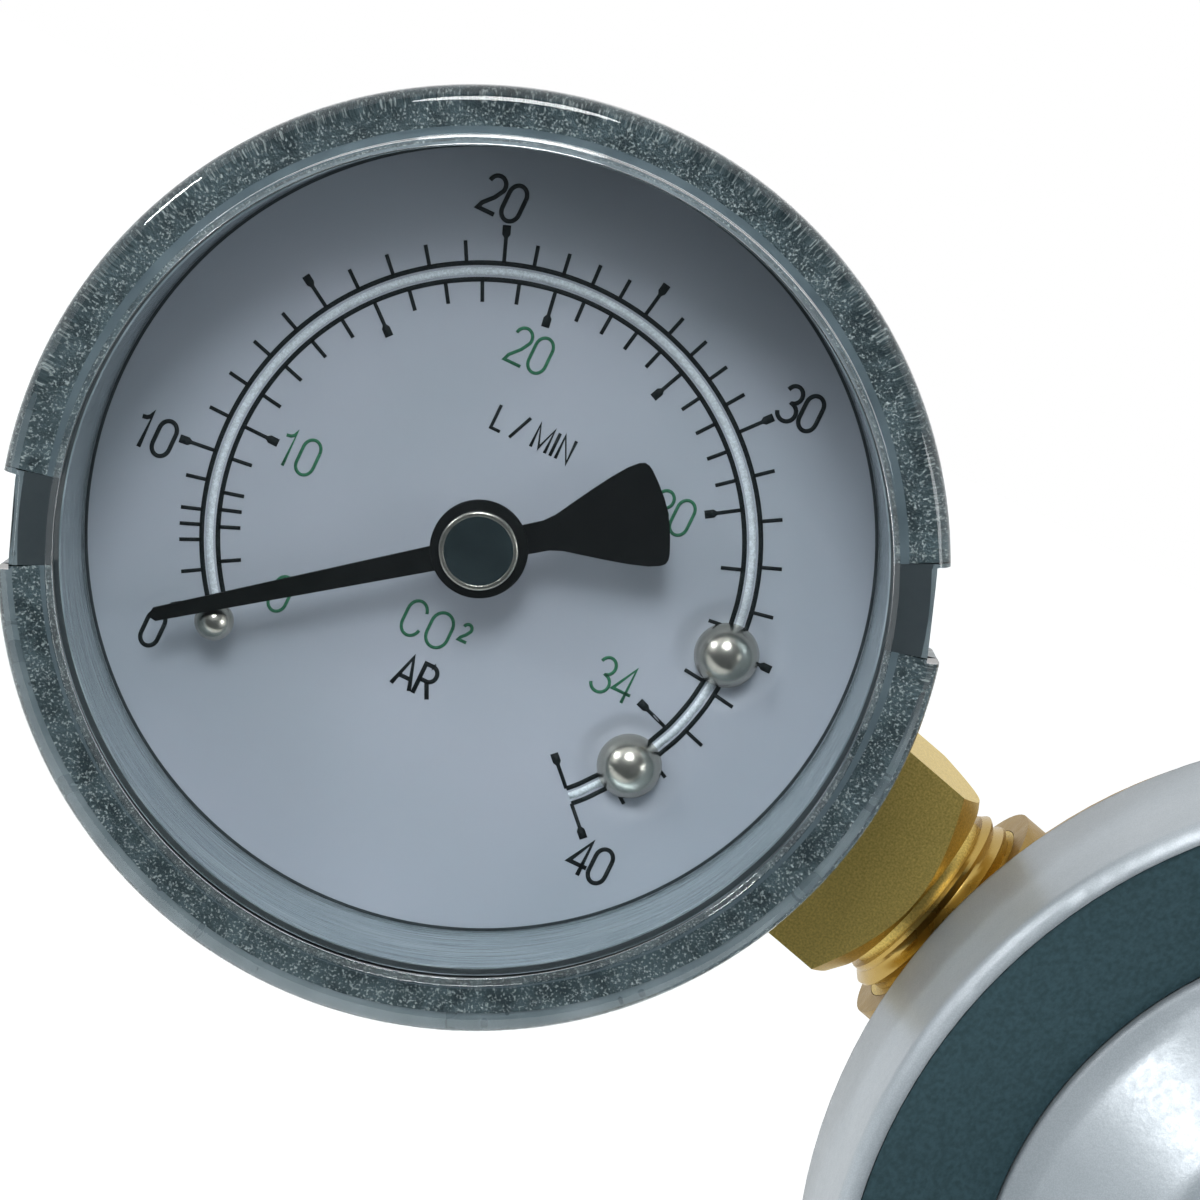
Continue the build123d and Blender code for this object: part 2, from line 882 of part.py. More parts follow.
def open_pivot():
    """The link's pin in the tip's lug, level with the middle of the tail's swing."""
    x, z = tail_spot()
    return x - link_length, z


def toothed(angles, root, tip, root_half, tip_half):
    """Corner points of straight-flanked teeth at the given angles."""
    points = []
    for angle in angles:
        points += [
            polar(root, angle - root_half),
            polar(tip, angle - tip_half),
            polar(tip, angle + tip_half),
            polar(root, angle + root_half),
        ]
    return points


def sector():
    """Fan with teeth towards the pinion, a hub on its arbor and a tail for the link."""
    pitch = 360 / sector_teeth
    to_pinion = 180 + pivot_bearing
    first = to_pinion - pitch * (sector_cut - 2)
    angles = [first + pitch * i for i in range(sector_cut)]
    root = sector_radius - module * 1.15
    edge = toothed(angles, root, sector_radius + module * 0.9, pitch * 0.24, pitch * 0.1)
    start, end = angles[0] - pitch * 0.6, angles[-1] + pitch * 0.6
    fan = [polar(1.4, start - 60), polar(root, start)] + edge + [polar(root, end), polar(1.4, end + 60)]
    shape = flat(Polyline(*fan, close=True), gear_front, gear_thickness)
    opening = [
        polar(fan_hub * 2.7, start + 9),
        polar(root - fan_hub, start + 4),
        polar(root - fan_hub, end - 4),
        polar(fan_hub * 2.7, end - 9),
    ]
    shape -= flat(Polyline(*opening, close=True), gear_front - 1, gear_thickness + 2)
    tail = [
        polar(1.2, tail_bearing - 90),
        polar(tail_arm + 0.3, tail_bearing - 12),
        polar(tail_arm + 1.0, tail_bearing),
        polar(tail_arm + 0.3, tail_bearing + 12),
        polar(1.2, tail_bearing + 90),
    ]
    shape += flat(Polyline(*tail, close=True), gear_front, gear_thickness)
    shape += bar(fan_hub, gear_front - 0.4, gear_front + gear_thickness + 0.6)
    shape += bar(pivot_radius, front_plate_depth, back_plate_depth + plate_sheet)
    dx, dz = polar(tail_arm, tail_bearing)
    shape -= post(link_pin + running, gear_front - 1, gear_front + gear_thickness + 1, (dx, dz))
    x, z = pivot_spot()
    return Pos(x, 0, z) * shape


def pinion():
    pitch = 360 / pinion_teeth
    angles = [pivot_bearing + pitch * (i + 0.5) for i in range(pinion_teeth)]
    outline = toothed(angles, pinion_radius - module * 1.3, pinion_radius + module * 0.6, 9.5, 4.5)
    leaves = flat(Polyline(*outline, close=True), gear_front - 0.4, gear_thickness + 0.8)
    top = -pointer_height - pointer_thickness - 0.2
    return leaves + bar(arbor_radius, top, back_plate_depth + plate_sheet)


def plate_outline():
    """Movement plate round the arbor, the sector's pivot and the pillars."""
    x, z = pivot_spot()
    spots = [(0.0, 0.0), (x, z)] + list(pillar_spots)
    return spots


def movement_plate(start):
    spots = plate_outline()
    sketch = Sketch() + [Pos(x, z) * Circle(plate_boss) for x, z in spots]
    return flat(make_hull(sketch.edges()), start, plate_sheet)


def front_plate():
    shape = movement_plate(front_plate_depth)
    ends = (front_plate_depth - 1, front_plate_depth + plate_sheet + 1)
    shape -= bar(arbor_radius + running, *ends)
    return shape - post(pivot_radius + running, *ends, pivot_spot())


def back_plate():
    """Back plate with its riveted pillars and the foot that lies on the socket's step."""
    shape = movement_plate(back_plate_depth)
    foot_end = block_start - skin_gap
    foot_half = block_half * 0.8
    shape += slab((0, foot_end), (back_plate_depth, back_plate_depth + plate_sheet), (-foot_half, foot_half))
    for spot in pillar_spots:
        shape += post(pillar_radius, front_plate_depth + plate_sheet, back_plate_depth + 0.1, spot)
    ends = (back_plate_depth - 1, back_plate_depth + plate_sheet + 1)
    shape -= bar(arbor_radius + running, *ends)
    return shape - post(pivot_radius + running, *ends, pivot_spot())


def link():
    """Strip from the sector's tail to the tip's lug, with a pin at each end."""
    start = gear_front + gear_thickness + 0.1
    x, z = tail_spot()
    far_x, far_z = open_pivot()
    half = link_width / 2
    strip = slab((far_x - half, x + half), (start, start + link_thickness), (z - half, z + half))
    near_pin = post(link_pin, gear_front, start + 0.1, (x, z))
    far_pin = post(link_pin, start + 0.1, start + link_thickness + seat_gap + lug_thickness, (far_x, far_z))
    return strip + near_pin + far_pin


def hairspring():
    """Flat spiral that takes up the play of the teeth."""
    per_turn = 12
    count = int(hairspring_turns * per_turn)
    pitch = (hairspring_outer - hairspring_inner) / count
    path = [polar(hairspring_inner + pitch * i, 360 * i / per_turn) for i in range(count + 1)]
    inner = [polar(hypot(x, z) - hairspring_wire, degrees(atan2(z, x))) for x, z in reversed(path)]
    return flat(Polyline(*(path + inner), close=True), back_plate_depth - 1.2, hairspring_height)


def pointer():
    """Tapered arm, hub ring and fan-shaped tail, arm along +X."""
    front = -pointer_height - pointer_thickness
    arm = [(0, -pointer_root), (pointer_length - pointer_end, -pointer_end), (pointer_length, 0)]
    arm += [(pointer_length - pointer_end, pointer_end), (0, pointer_root)]
    shape = flat(Polyline(*arm, close=True), front, pointer_thickness)
    tail_x, tail_z = polar(pointer_tail, 180 - tail_spread)
    neck_x = -pointer_hub
    side_middle = ((tail_x + neck_x) / 2 - 0.6, tail_z * 0.36)
    upper = ThreePointArc((neck_x, tail_neck), side_middle, (tail_x, tail_z))
    cap = ThreePointArc((tail_x, tail_z), (-pointer_tail, 0), (tail_x, -tail_z))
    lower = ThreePointArc((tail_x, -tail_z), (side_middle[0], -side_middle[1]), (neck_x, -tail_neck))
    inner = Polyline((neck_x, -tail_neck), (0, -tail_neck), (0, tail_neck), (neck_x, tail_neck))
    shape += flat(upper + cap + lower + inner, front, pointer_thickness)
    shape += bar(pointer_hub, front - 0.2, -pointer_height)
    return shape - bar(arbor_radius, front - 1, 1)


def pointer_boss():
    front = -pointer_height - pointer_thickness - 0.2
    return ring_of(
        (0, front - boss_disc_height),
        (boss_disc - 0.3, front - boss_disc_height),
        (boss_disc, front - boss_disc_height + 0.3),
        (boss_disc, front),
        (0, front),
    )


def seat_gauge(shape, gauge):
    place = Pos(gauge["side"] * gauge_x, dial_face, gauge_z) * Rot(0, -gauge["stem"], 0)
    return place * shape


def gauge_pieces(gauge):
    turn = gauge["zero"] - gauge["stem"]
    clocked = Rot(0, -turn, 0)
    return {
        "case": gauge_case(),
        "lens": notched(gauge_lens(), notch_angle - gauge["stem"]),
        "spacer": spacer(),
        "dial": gauge_dial(turn),
        "dial_rivets": dial_rivets(),
        "stop_pin": stop_pin(turn),
        "socket": gauge_socket(),
        "bourdon_tube": bourdon_tube(),
        "tube_tip": tube_tip(),
        "link": link(),
        "sector": sector(),
        "pinion": pinion(),
        "front_plate": front_plate(),
        "back_plate": back_plate(),
        "hairspring": hairspring(),
        "pointer": clocked * pointer(),
        "pointer_boss": pointer_boss(),
    }


regulator_pieces = (
    body, bonnet, bonnet_ring, slip_ring, diaphragm, diaphragm_plate, main_spring, spring_button,
    adjusting_screw, tee_bar, valve_nozzle, valve_seat, valve_poppet, poppet_spring, inlet_stem,
    inlet_gasket, inlet_filter, inlet_nut, outlet_adapter, outlet_orifice, hose_barb, outlet_nut,
    relief_body, relief_poppet, relief_spring, relief_cap,
)

os.makedirs("parts", exist_ok=True)
for make in regulator_pieces:
    export_step(make(), f"parts/{make.__name__}.step")
for prefix, gauge in gauges.items():
    for name, shape in gauge_pieces(gauge).items():
        export_step(seat_gauge(shape, gauge), f"parts/{prefix}_{name}.step")
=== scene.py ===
# Gas regulator with two dial gauges: finishes, dial print, clear caps, threads, light and camera.
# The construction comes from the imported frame. Sizes here are in millimetres until a mesh is made.
import json
import math
import bmesh
import bpy
from mathutils import Matrix, Vector


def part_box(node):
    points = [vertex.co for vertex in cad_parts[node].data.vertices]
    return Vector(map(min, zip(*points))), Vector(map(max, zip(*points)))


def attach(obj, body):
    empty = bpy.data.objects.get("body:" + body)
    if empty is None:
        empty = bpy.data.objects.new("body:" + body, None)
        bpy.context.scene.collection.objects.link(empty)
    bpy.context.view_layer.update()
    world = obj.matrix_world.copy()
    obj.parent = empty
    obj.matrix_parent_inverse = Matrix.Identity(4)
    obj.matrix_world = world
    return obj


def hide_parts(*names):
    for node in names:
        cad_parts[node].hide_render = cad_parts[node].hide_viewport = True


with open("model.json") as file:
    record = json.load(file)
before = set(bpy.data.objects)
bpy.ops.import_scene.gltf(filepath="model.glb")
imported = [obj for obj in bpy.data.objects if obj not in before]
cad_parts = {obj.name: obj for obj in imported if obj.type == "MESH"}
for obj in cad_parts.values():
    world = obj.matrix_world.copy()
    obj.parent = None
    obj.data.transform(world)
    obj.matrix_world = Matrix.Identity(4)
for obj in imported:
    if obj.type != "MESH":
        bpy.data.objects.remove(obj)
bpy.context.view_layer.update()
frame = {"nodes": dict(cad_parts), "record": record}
nodes = frame["nodes"]
mm = 0.001
print("frame loaded:", len(nodes), "nodes")


# Colours are written as they look on a screen, 0 to 255.
def colour(red, green, blue):
    def toLinear(value):
        share = value / 255
        return share / 12.92 if share <= 0.04045 else ((share + 0.055) / 1.055) ** 2.4
    return (toLinear(red), toLinear(green), toLinear(blue), 1.0)


def low(node):
    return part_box(node)[0] / mm


def high(node):
    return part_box(node)[1] / mm


def middle(node):
    return (low(node) + high(node)) / 2


# A finish is built from grain in millimetres, because every piece shares the frame's origin.
class Finish:
    def __init__(self, name, tree=None):
        self.lastBump = None
        if tree:
            self.tree = tree
            return
        self.material = bpy.data.materials.new(name)
        self.material.use_nodes = True
        self.tree = self.material.node_tree
        self.shader = self.tree.nodes["Principled BSDF"]

    def add(self, kind, **values):
        node = self.tree.nodes.new(kind)
        for key, value in values.items():
            setattr(node, key, value)
        return node

    def join(self, source, target):
        self.tree.links.new(source, target)

    def count(self, operation, *sources):
        node = self.add("ShaderNodeMath", operation=operation)
        for socket, source in zip(node.inputs, sources):
            if isinstance(source, (int, float)):
                socket.default_value = source
            else:
                self.join(source, socket)
        return node.outputs[0]

    def put(self, **values):
        for key, value in values.items():
            self.shader.inputs[key.replace("_", " ")].default_value = value

    def place(self, stretch=(1, 1, 1)):
        scaled = self.add("ShaderNodeMapping")
        scaled.inputs["Scale"].default_value = [s / mm for s in stretch]
        self.join(self.add("ShaderNodeTexCoord").outputs["Object"], scaled.inputs["Vector"])
        return scaled.outputs["Vector"]

    def noise(self, size, detail=3.0, stretch=(1, 1, 1)):
        node = self.add("ShaderNodeTexNoise")
        node.inputs["Scale"].default_value = 1 / size
        node.inputs["Detail"].default_value = detail
        self.join(self.place(stretch), node.inputs["Vector"])
        return node.outputs["Fac"]

    def cells(self, size):
        node = self.add("ShaderNodeTexVoronoi")
        node.inputs["Scale"].default_value = 1 / size
        self.join(self.place(), node.inputs["Vector"])
        return node.outputs["Distance"]

    def span(self, source, start, end, first=0.0, last=1.0):
        node = self.add("ShaderNodeMapRange")
        for socket, value in zip(list(node.inputs)[1:5], (start, end, first, last)):
            socket.default_value = value
        self.join(source, node.inputs[0])
        return node.outputs[0]

    def tint(self, source, first, last):
        node = self.add("ShaderNodeMix", data_type="RGBA")
        node.inputs[6].default_value = first
        node.inputs[7].default_value = last
        self.join(source, node.inputs[0])
        return node.outputs[2]

    def paint(self, source):
        self.join(source, self.shader.inputs["Base Color"])

    def rough(self, source, first, last):
        self.join(self.span(source, 0.3, 0.7, first, last), self.shader.inputs["Roughness"])

    def bump(self, source, depth):
        node = self.add("ShaderNodeBump")
        node.inputs["Distance"].default_value = depth * mm
        self.join(source, node.inputs["Height"])
        if self.lastBump:
            self.join(self.lastBump.outputs["Normal"], node.inputs["Normal"])
        self.lastBump = node
        self.join(node.outputs["Normal"], self.shader.inputs["Normal"])


# Turned or cast metal: soft patches of tone, fine grain, and the lines that a tool leaves.
def metalFinish(name, dark, bright, rough, grain, lines=None):
    finish = Finish(name)
    finish.put(Metallic=1.0)
    finish.paint(finish.tint(finish.span(finish.noise(7.0, 4), 0.25, 0.75), dark, bright))
    finish.rough(finish.noise(1.3, 2), rough * 0.9, rough * 1.12)
    finish.bump(finish.noise(grain[0], 4), grain[1])
    if lines:
        finish.bump(finish.noise(1.0, 3, lines[0]), lines[1])
    return finish.material


def paintFinish(name, dark, bright, rough, grain, metallic=0.0, specular=0.5):
    finish = Finish(name)
    finish.put(Metallic=metallic, Specular_IOR_Level=specular)
    finish.paint(finish.tint(finish.span(finish.noise(3.0, 5), 0.3, 0.7), dark, bright))
    finish.rough(finish.noise(1.5, 2), rough * 0.85, rough * 1.15)
    finish.bump(finish.noise(grain[0], 2), grain[1])
    return finish.material


acrossY = (0.15, 14, 0.15)  # tool lines of what was turned about Y
acrossZ = (0.15, 0.15, 14)  # tool lines of what was turned about Z
brassDark = colour(176, 146, 80)
brassBright = colour(204, 173, 100)

# Metals and paints by slot. Grain is size and depth in millimetres, lines are their stretch and depth.
metals = {
    "brass_forged": {"name": "brassForged", "dark": colour(148, 122, 68), "bright": colour(172, 144, 84),
                     "rough": 0.42, "grain": (0.28, 0.05)},
    "brass_turned": {"name": "brassTurnedY", "dark": brassDark, "bright": brassBright,
                     "rough": 0.26, "grain": (0.2, 0.004), "lines": (acrossY, 0.002)},
    "brassDown": {"name": "brassTurnedZ", "dark": brassDark, "bright": brassBright,
                  "rough": 0.26, "grain": (0.2, 0.004), "lines": (acrossZ, 0.002)},
    "spring_steel": {"name": "springSteel", "dark": colour(96, 98, 102), "bright": colour(128, 130, 134),
                     "rough": 0.35, "grain": (0.3, 0.01)},
    "steel": {"name": "turnedSteel", "dark": colour(150, 152, 155), "bright": colour(176, 178, 180),
              "rough": 0.28, "grain": (0.2, 0.004), "lines": (acrossY, 0.002)},
    "plated_steel": {"name": "zincPlate", "dark": colour(176, 179, 184), "bright": colour(205, 208, 212),
                     "rough": 0.22, "grain": (0.5, 0.01), "lines": (acrossY, 0.001)},
    "nickel": {"name": "nickelPlate", "dark": colour(182, 178, 169), "bright": colour(204, 200, 189),
               "rough": 0.24, "grain": (0.12, 0.003)},
    "sintered_bronze": {"name": "sinteredBronze", "dark": colour(112, 80, 48),
                        "bright": colour(148, 108, 66), "rough": 0.6, "grain": (0.12, 0.06)},
    "bronze_tube": {"name": "bronzeTube", "dark": colour(160, 118, 70), "bright": colour(186, 142, 88),
                    "rough": 0.3, "grain": (0.3, 0.004)},
    "bossSteel": {"name": "bossSteel", "dark": colour(100, 120, 124), "bright": colour(128, 146, 150),
                  "rough": 0.2, "grain": (0.12, 0.002)},
    "stemThread": {"name": "stemThreadBrass", "dark": colour(170, 142, 78), "bright": colour(192, 164, 94),
                   "rough": 0.28, "grain": (0.3, 0.003)},
}
paints = {
    "rubber": {"name": "rubber", "dark": colour(26, 26, 26), "bright": colour(38, 38, 38),
               "rough": 0.8, "grain": (0.3, 0.02)},
    "nylon": {"name": "nylon", "dark": colour(205, 202, 188), "bright": colour(222, 219, 206),
              "rough": 0.45, "grain": (0.5, 0.01)},
    "black_case": {"name": "blackCase", "dark": colour(14, 15, 17), "bright": colour(22, 23, 26),
                   "rough": 0.38, "grain": (0.35, 0.012)},
    "pointer_black": {"name": "pointerBlack", "dark": colour(2, 4, 4), "bright": colour(5, 8, 8),
                      "rough": 0.8, "grain": (0.15, 0.004), "specular": 0.12},
    # grey band on the case's rim under the cap: its grey is a painted reflection of the cap's inner bevel
    "rimGrey": {"name": "rimGrey", "dark": colour(74, 87, 93), "bright": colour(92, 105, 111),
                "rough": 0.4, "grain": (0.4, 0.004), "metallic": 0.3},
    # dark rings at the spacer's front and foot are painted shade in the gaps; in the notches the same dark
    # band is the case's own dark colour
    "rimLine": {"name": "rimLine", "dark": colour(26, 36, 40), "bright": colour(26, 36, 40),
                "rough": 0.6, "grain": (0.2, 0.003)},
    "capSkirt": {"name": "capSkirt", "dark": colour(92, 104, 108), "bright": colour(122, 132, 136),
                 "rough": 0.3, "grain": (0.3, 0.01), "metallic": 0.3},
}
finishSettings = {
    "stemDark": colour(190, 166, 90),
    "stemBright": colour(234, 208, 122),
    "silverDark": colour(172, 179, 185),
    "silverBright": colour(186, 192, 198),
    "ringDark": colour(44, 68, 74),
    "ringBright": colour(56, 82, 90),
    "dialPale": colour(157, 161, 170),
    "dialShade": colour(151, 157, 165),
    "stippleDark": colour(40, 53, 57),
    "stippleBright": colour(64, 79, 83),
    # bright specks of the rim's stipple: painted glints
    "stippleGlint": colour(156, 164, 162),
    "spacerDark": colour(104, 118, 124),
    "spacerBright": colour(166, 178, 184),
    "inkBlack": colour(8, 16, 18),
    "inkGreen": colour(38, 92, 66),
    "inkPale": colour(186, 193, 198),
    "nutBore": 9.5,        # radius over the crests of its thread
    "nutPitch": 1.814,
    "nutDepth": 0.9,
    # dark brown painted into the nut's thread grooves: painted shade
    "nutGrooveShade": colour(52, 38, 16),
}


def silverPaint(values):
    finish = Finish("silverPaint")
    finish.put(Metallic=0.22, Specular_IOR_Level=0.5)
    flakes = finish.cells(0.09)
    broad = finish.noise(9.0, 4)
    tone = finish.tint(finish.span(broad, 0.3, 0.7), values["silverDark"], values["silverBright"])
    sparkle = finish.add("ShaderNodeMix", data_type="RGBA", blend_type="MULTIPLY")
    sparkle.inputs[0].default_value = 0.5
    finish.join(tone, sparkle.inputs[6])
    finish.join(finish.tint(finish.span(flakes, 0.0, 0.7), colour(255, 255, 255), colour(206, 210, 213)),
                sparkle.inputs[7])
    finish.paint(sparkle.outputs[2])
    finish.rough(finish.noise(0.5, 4), 0.3, 0.38)
    # The bevel evens out the highlight on the lip's facets.
    finish.lastBump = finish.add("ShaderNodeBevel", samples=4)
    finish.lastBump.inputs["Radius"].default_value = 0.6 * mm
    finish.bump(finish.noise(0.22, 4), 0.008)
    finish.bump(finish.noise(2.4, 3), 0.02)
    return finish.material


# The inlet nut's thread, right hand, on the wall of its bore. The bore's axis is the frame's Y axis.
def threadedNut(values):
    finish = Finish("inletNutBrass")
    finish.put(Metallic=1.0)
    parts = finish.add("ShaderNodeSeparateXYZ")
    finish.join(finish.add("ShaderNodeTexCoord").outputs["Object"], parts.inputs[0])
    x, y, z = parts.outputs
    squares = finish.count("ADD", finish.count("MULTIPLY", x, x), finish.count("MULTIPLY", z, z))
    inside = finish.count("LESS_THAN", finish.count("SQRT", squares), (values["nutBore"] + 0.3) * mm)
    turn = finish.count("DIVIDE", finish.count("ARCTAN2", z, x), 2 * math.pi)
    turns = finish.count("ADD", finish.count("DIVIDE", y, values["nutPitch"] * mm), turn)
    crest = finish.count("MULTIPLY", finish.count("PINGPONG", turns, 0.5), inside)
    tone = finish.tint(finish.span(finish.noise(7.0, 4), 0.25, 0.75), brassDark, brassBright)
    # The thread's grooves are darkened towards a dark brown: painted shade.
    shaded = finish.add("ShaderNodeMix", data_type="RGBA")
    finish.join(finish.span(crest, 0.0, 0.5, 0.0, 0.75), shaded.inputs[0])
    finish.join(tone, shaded.inputs[6])
    shaded.inputs[7].default_value = values["nutGrooveShade"]
    finish.paint(shaded.outputs[2])
    finish.rough(finish.noise(1.3, 5), 0.24, 0.3)
    finish.bump(finish.noise(1.0, 3, acrossY), 0.002)
    finish.bump(crest, -values["nutDepth"])
    return finish.material


# Drawn brass bar: fine sandy grain and no large patches.
def stemFinish(values):
    finish = Finish("stemBrass")
    finish.put(Metallic=1.0)
    grain = finish.noise(0.14, 3)
    finish.paint(finish.tint(finish.span(grain, 0.3, 0.7), values["stemDark"], values["stemBright"]))
    finish.rough(finish.noise(0.3, 3), 0.42, 0.5)
    finish.bump(grain, 0.012)
    return finish.material


# Thin metal ring with fine lines running round it.
def spacerFinish(values):
    finish = Finish("satinRing")
    finish.put(Metallic=0.4)
    streaks = finish.noise(1.0, 2, acrossY)
    shown = finish.span(streaks, 0.35, 0.65)
    finish.paint(finish.tint(shown, values["spacerDark"], values["spacerBright"]))
    finish.rough(finish.noise(1.0, 3), 0.18, 0.26)
    finish.bump(streaks, 0.004)
    return finish.material


def darkRing(values):
    finish = Finish("darkRing")
    finish.put(Metallic=0.0, Specular_IOR_Level=0.35)
    grit = finish.noise(0.35, 5)
    finish.paint(finish.tint(finish.span(grit, 0.35, 0.65), values["ringDark"], values["ringBright"]))
    finish.rough(finish.noise(1.0, 4), 0.6, 0.75)
    finish.bump(grit, 0.03)
    return finish.material


def dialFace(values):
    finish = Finish("dialWhite")
    finish.put(Metallic=0.0, Specular_IOR_Level=0.35, Roughness=0.5)
    cloud = finish.noise(12.0, 1)
    finish.paint(finish.tint(finish.span(cloud, 0.3, 0.7), values["dialShade"], values["dialPale"]))
    finish.bump(finish.noise(0.25, 1), 0.002)
    return finish.material


# Coarse stipple, as the moulded inside of the cap's rim looks. Its bright specks are painted glints.
def stippleFinish(values):
    finish = Finish("rimStipple")
    finish.put(Metallic=0.35, Specular_IOR_Level=0.5)
    grain = finish.noise(0.16, 2)
    patches = finish.noise(1.2, 3)
    base = finish.tint(finish.span(patches, 0.35, 0.65), values["stippleDark"], values["stippleBright"])
    paintedGlint = finish.add("ShaderNodeMix", data_type="RGBA")
    paintedGlint.inputs[7].default_value = values["stippleGlint"]
    finish.join(finish.span(finish.noise(0.13, 2), 0.54, 0.72), paintedGlint.inputs[0])
    finish.join(base, paintedGlint.inputs[6])
    finish.paint(paintedGlint.outputs[2])
    finish.rough(patches, 0.3, 0.5)
    finish.bump(grain, 0.08)
    return finish.material


def inkFinish(name, shade):
    finish = Finish(name)
    worn = finish.noise(0.12, 3)
    lighter = tuple(min(1, c * 1.5 + 0.01) for c in shade[:3]) + (1,)
    finish.paint(finish.tint(finish.span(worn, 0.4, 0.8), shade, lighter))
    finish.put(Roughness=0.6, Specular_IOR_Level=0.15)
    return finish.material


# Clear moulded plastic. Light reaches the dial through it without a dark shadow.
def clearCap():
    finish = Finish("clearCap")
    finish.put(Roughness=0.0, Transmission_Weight=1.0, IOR=1.49)
    finish.put(Base_Color=colour(244, 247, 248))
    shadow = finish.add("ShaderNodeLightPath").outputs["Is Shadow Ray"]
    passing = finish.add("ShaderNodeBsdfTransparent")
    passing.inputs["Color"].default_value = colour(240, 243, 245)
    mix = finish.add("ShaderNodeMixShader")
    finish.join(shadow, mix.inputs[0])
    finish.join(finish.shader.outputs[0], mix.inputs[1])
    finish.join(passing.outputs[0], mix.inputs[2])
    finish.join(mix.outputs[0], finish.tree.nodes["Material Output"].inputs["Surface"])
    return finish.material


def makeFinishes(values):
    made = {slot: metalFinish(**metal) for slot, metal in metals.items()}
    made.update({slot: paintFinish(**paint) for slot, paint in paints.items()})
    made["silver_paint"] = silverPaint(values)
    made["dark_ring"] = darkRing(values)
    made["socket_brass"] = stemFinish(values)
    made["satin_ring"] = spacerFinish(values)
    made["dial_white"] = dialFace(values)
    made["threadedNut"] = threadedNut(values)
    made["capStipple"] = stippleFinish(values)
    made["clear_lens"] = clearCap()
    return made


finishes = makeFinishes(finishSettings)
ink = {shade: inkFinish("ink" + shade.capitalize(), finishSettings["ink" + shade.capitalize()])
       for shade in ("black", "green", "pale")}
print("finishes made:", len(finishes) + len(ink))


# Every carried-over node takes the finish of its slot, with tool lines across the axis it was turned about.
def dressNodes():
    slots = {part["node"]: part["material_slot"] for part in frame["record"]["subparts"]}
    down = ("outlet_adapter", "outlet_orifice", "hose_barb", "outlet_nut")
    for name, node in nodes.items():
        finish = finishes["brassDown"] if name in down else finishes.get(slots[name])
        if name == "inlet_nut":
            finish = finishes["threadedNut"]
        node.data.materials.clear()
        node.data.materials.append(finish or finishes["brass_turned"])
    return slots


slots = dressNodes()


# Closes a mesh made in millimetres: crisp edges by angle, metres, finish and body.
def finishPiece(bm, name, material, body, stands=(), matrix=Matrix.Identity(4), crispAngle=35.0):
    bmesh.ops.remove_doubles(bm, verts=bm.verts, dist=1e-5)
    bmesh.ops.recalc_face_normals(bm, faces=bm.faces)
    bmesh.ops.transform(bm, matrix=Matrix.Scale(mm, 4) @ matrix, verts=bm.verts)
    for face in bm.faces:
        face.smooth = True
    for edge in bm.edges:
        if len(edge.link_faces) == 2 and edge.calc_face_angle() > math.radians(crispAngle):
            edge.smooth = False
    mesh = bpy.data.meshes.new(name)
    bm.to_mesh(mesh)
    bm.free()
    mesh.materials.append(material)
    piece = bpy.data.objects.new(name, mesh)
    bpy.context.scene.collection.objects.link(piece)
    weighted = piece.modifiers.new("evenShading", "WEIGHTED_NORMAL")
    weighted.keep_sharp = True
    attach(piece, body)
    if stands:
        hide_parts(*stands)
    return piece


# Rounds the corners of an outline. Each corner is (radius from the axis, station, rounding).
def rounded(corners, steps=5):
    outline = []
    for i, (across, along, rounding) in enumerate(corners):
        here = Vector((across, along))
        if not rounding:
            outline.append(here)
            continue
        before = Vector(corners[i - 1][:2]) - here
        after = Vector(corners[(i + 1) % len(corners)][:2]) - here
        reach = rounding / math.tan(before.angle(after) / 2)
        start = here + before.normalized() * min(reach, before.length * 0.49)
        end = here + after.normalized() * min(reach, after.length * 0.49)
        for step in range(steps + 1):
            t = step / steps
            outline.append(start * (1 - t) ** 2 + here * 2 * t * (1 - t) + end * t * t)
    return outline


# Turns a closed outline about Y. shape can move a point once it is in place, as a notch does.
def turned(outline, angles, shape=None):
    bm = bmesh.new()
    rings = []
    for angle in angles:
        ring = []
        for across, along in outline:
            point = Vector((across * math.cos(angle), along, across * math.sin(angle)))
            ring.append(bm.verts.new(shape(point, angle) if shape else point))
        rings.append(ring)
    for i, ring in enumerate(rings):
        following = rings[(i + 1) % len(rings)]
        for j in range(len(outline)):
            k = (j + 1) % len(outline)
            corners = [ring[j], ring[k], following[k], following[j]]
            if outline[j][0] < 1e-6 and outline[k][0] < 1e-6:
                continue
            if outline[j][0] < 1e-6:
                corners.pop(3)
            elif outline[k][0] < 1e-6:
                corners.pop(2)
            bm.faces.new(corners)
    return bm


def evenAngles(count):
    return [2 * math.pi * i / count for i in range(count)]


# Joins rings of points, each as long as the first, into a tube.
def tube(rings, closed=True):
    bm = bmesh.new()
    rings = [[bm.verts.new(point) for point in ring] for ring in rings]
    for first, second in zip(rings, rings[1:]):
        for j in range(len(first)):
            k = (j + 1) % len(first)
            bm.faces.new((first[j], first[k], second[k], second[j]))
    if closed:
        bm.faces.new(rings[0])
        bm.faces.new(reversed(rings[-1]))
    return bm


# Round bar with a helical thread along Y, closed at both ends.
def threadedBar(crest, root, pitch, start, end, around):
    perPitch = 6
    rows = int((end - start) / pitch * perPitch)
    rings = []
    for row in range(rows + 1):
        along = start + (end - start) * row / rows
        fade = min(1.0, (along - start) / pitch * 2, (end - along) / pitch * 2)
        ring = []
        for i in range(around):
            turn = i / around
            height = abs((((along - start) / pitch - turn) % 1.0) * 2 - 1)
            radius = root + (crest - root) * max(0.0, min(1.0, height * 1.4 - 0.2)) * fade
            angle = 2 * math.pi * turn
            ring.append((radius * math.cos(angle), along, radius * math.sin(angle)))
        rings.append(ring)
    return tube(rings)


gauges = {
    "flow": {"stem": -15.0, "notch": 20.0},
    "contents": {"stem": 195.0, "notch": 20.0},
}


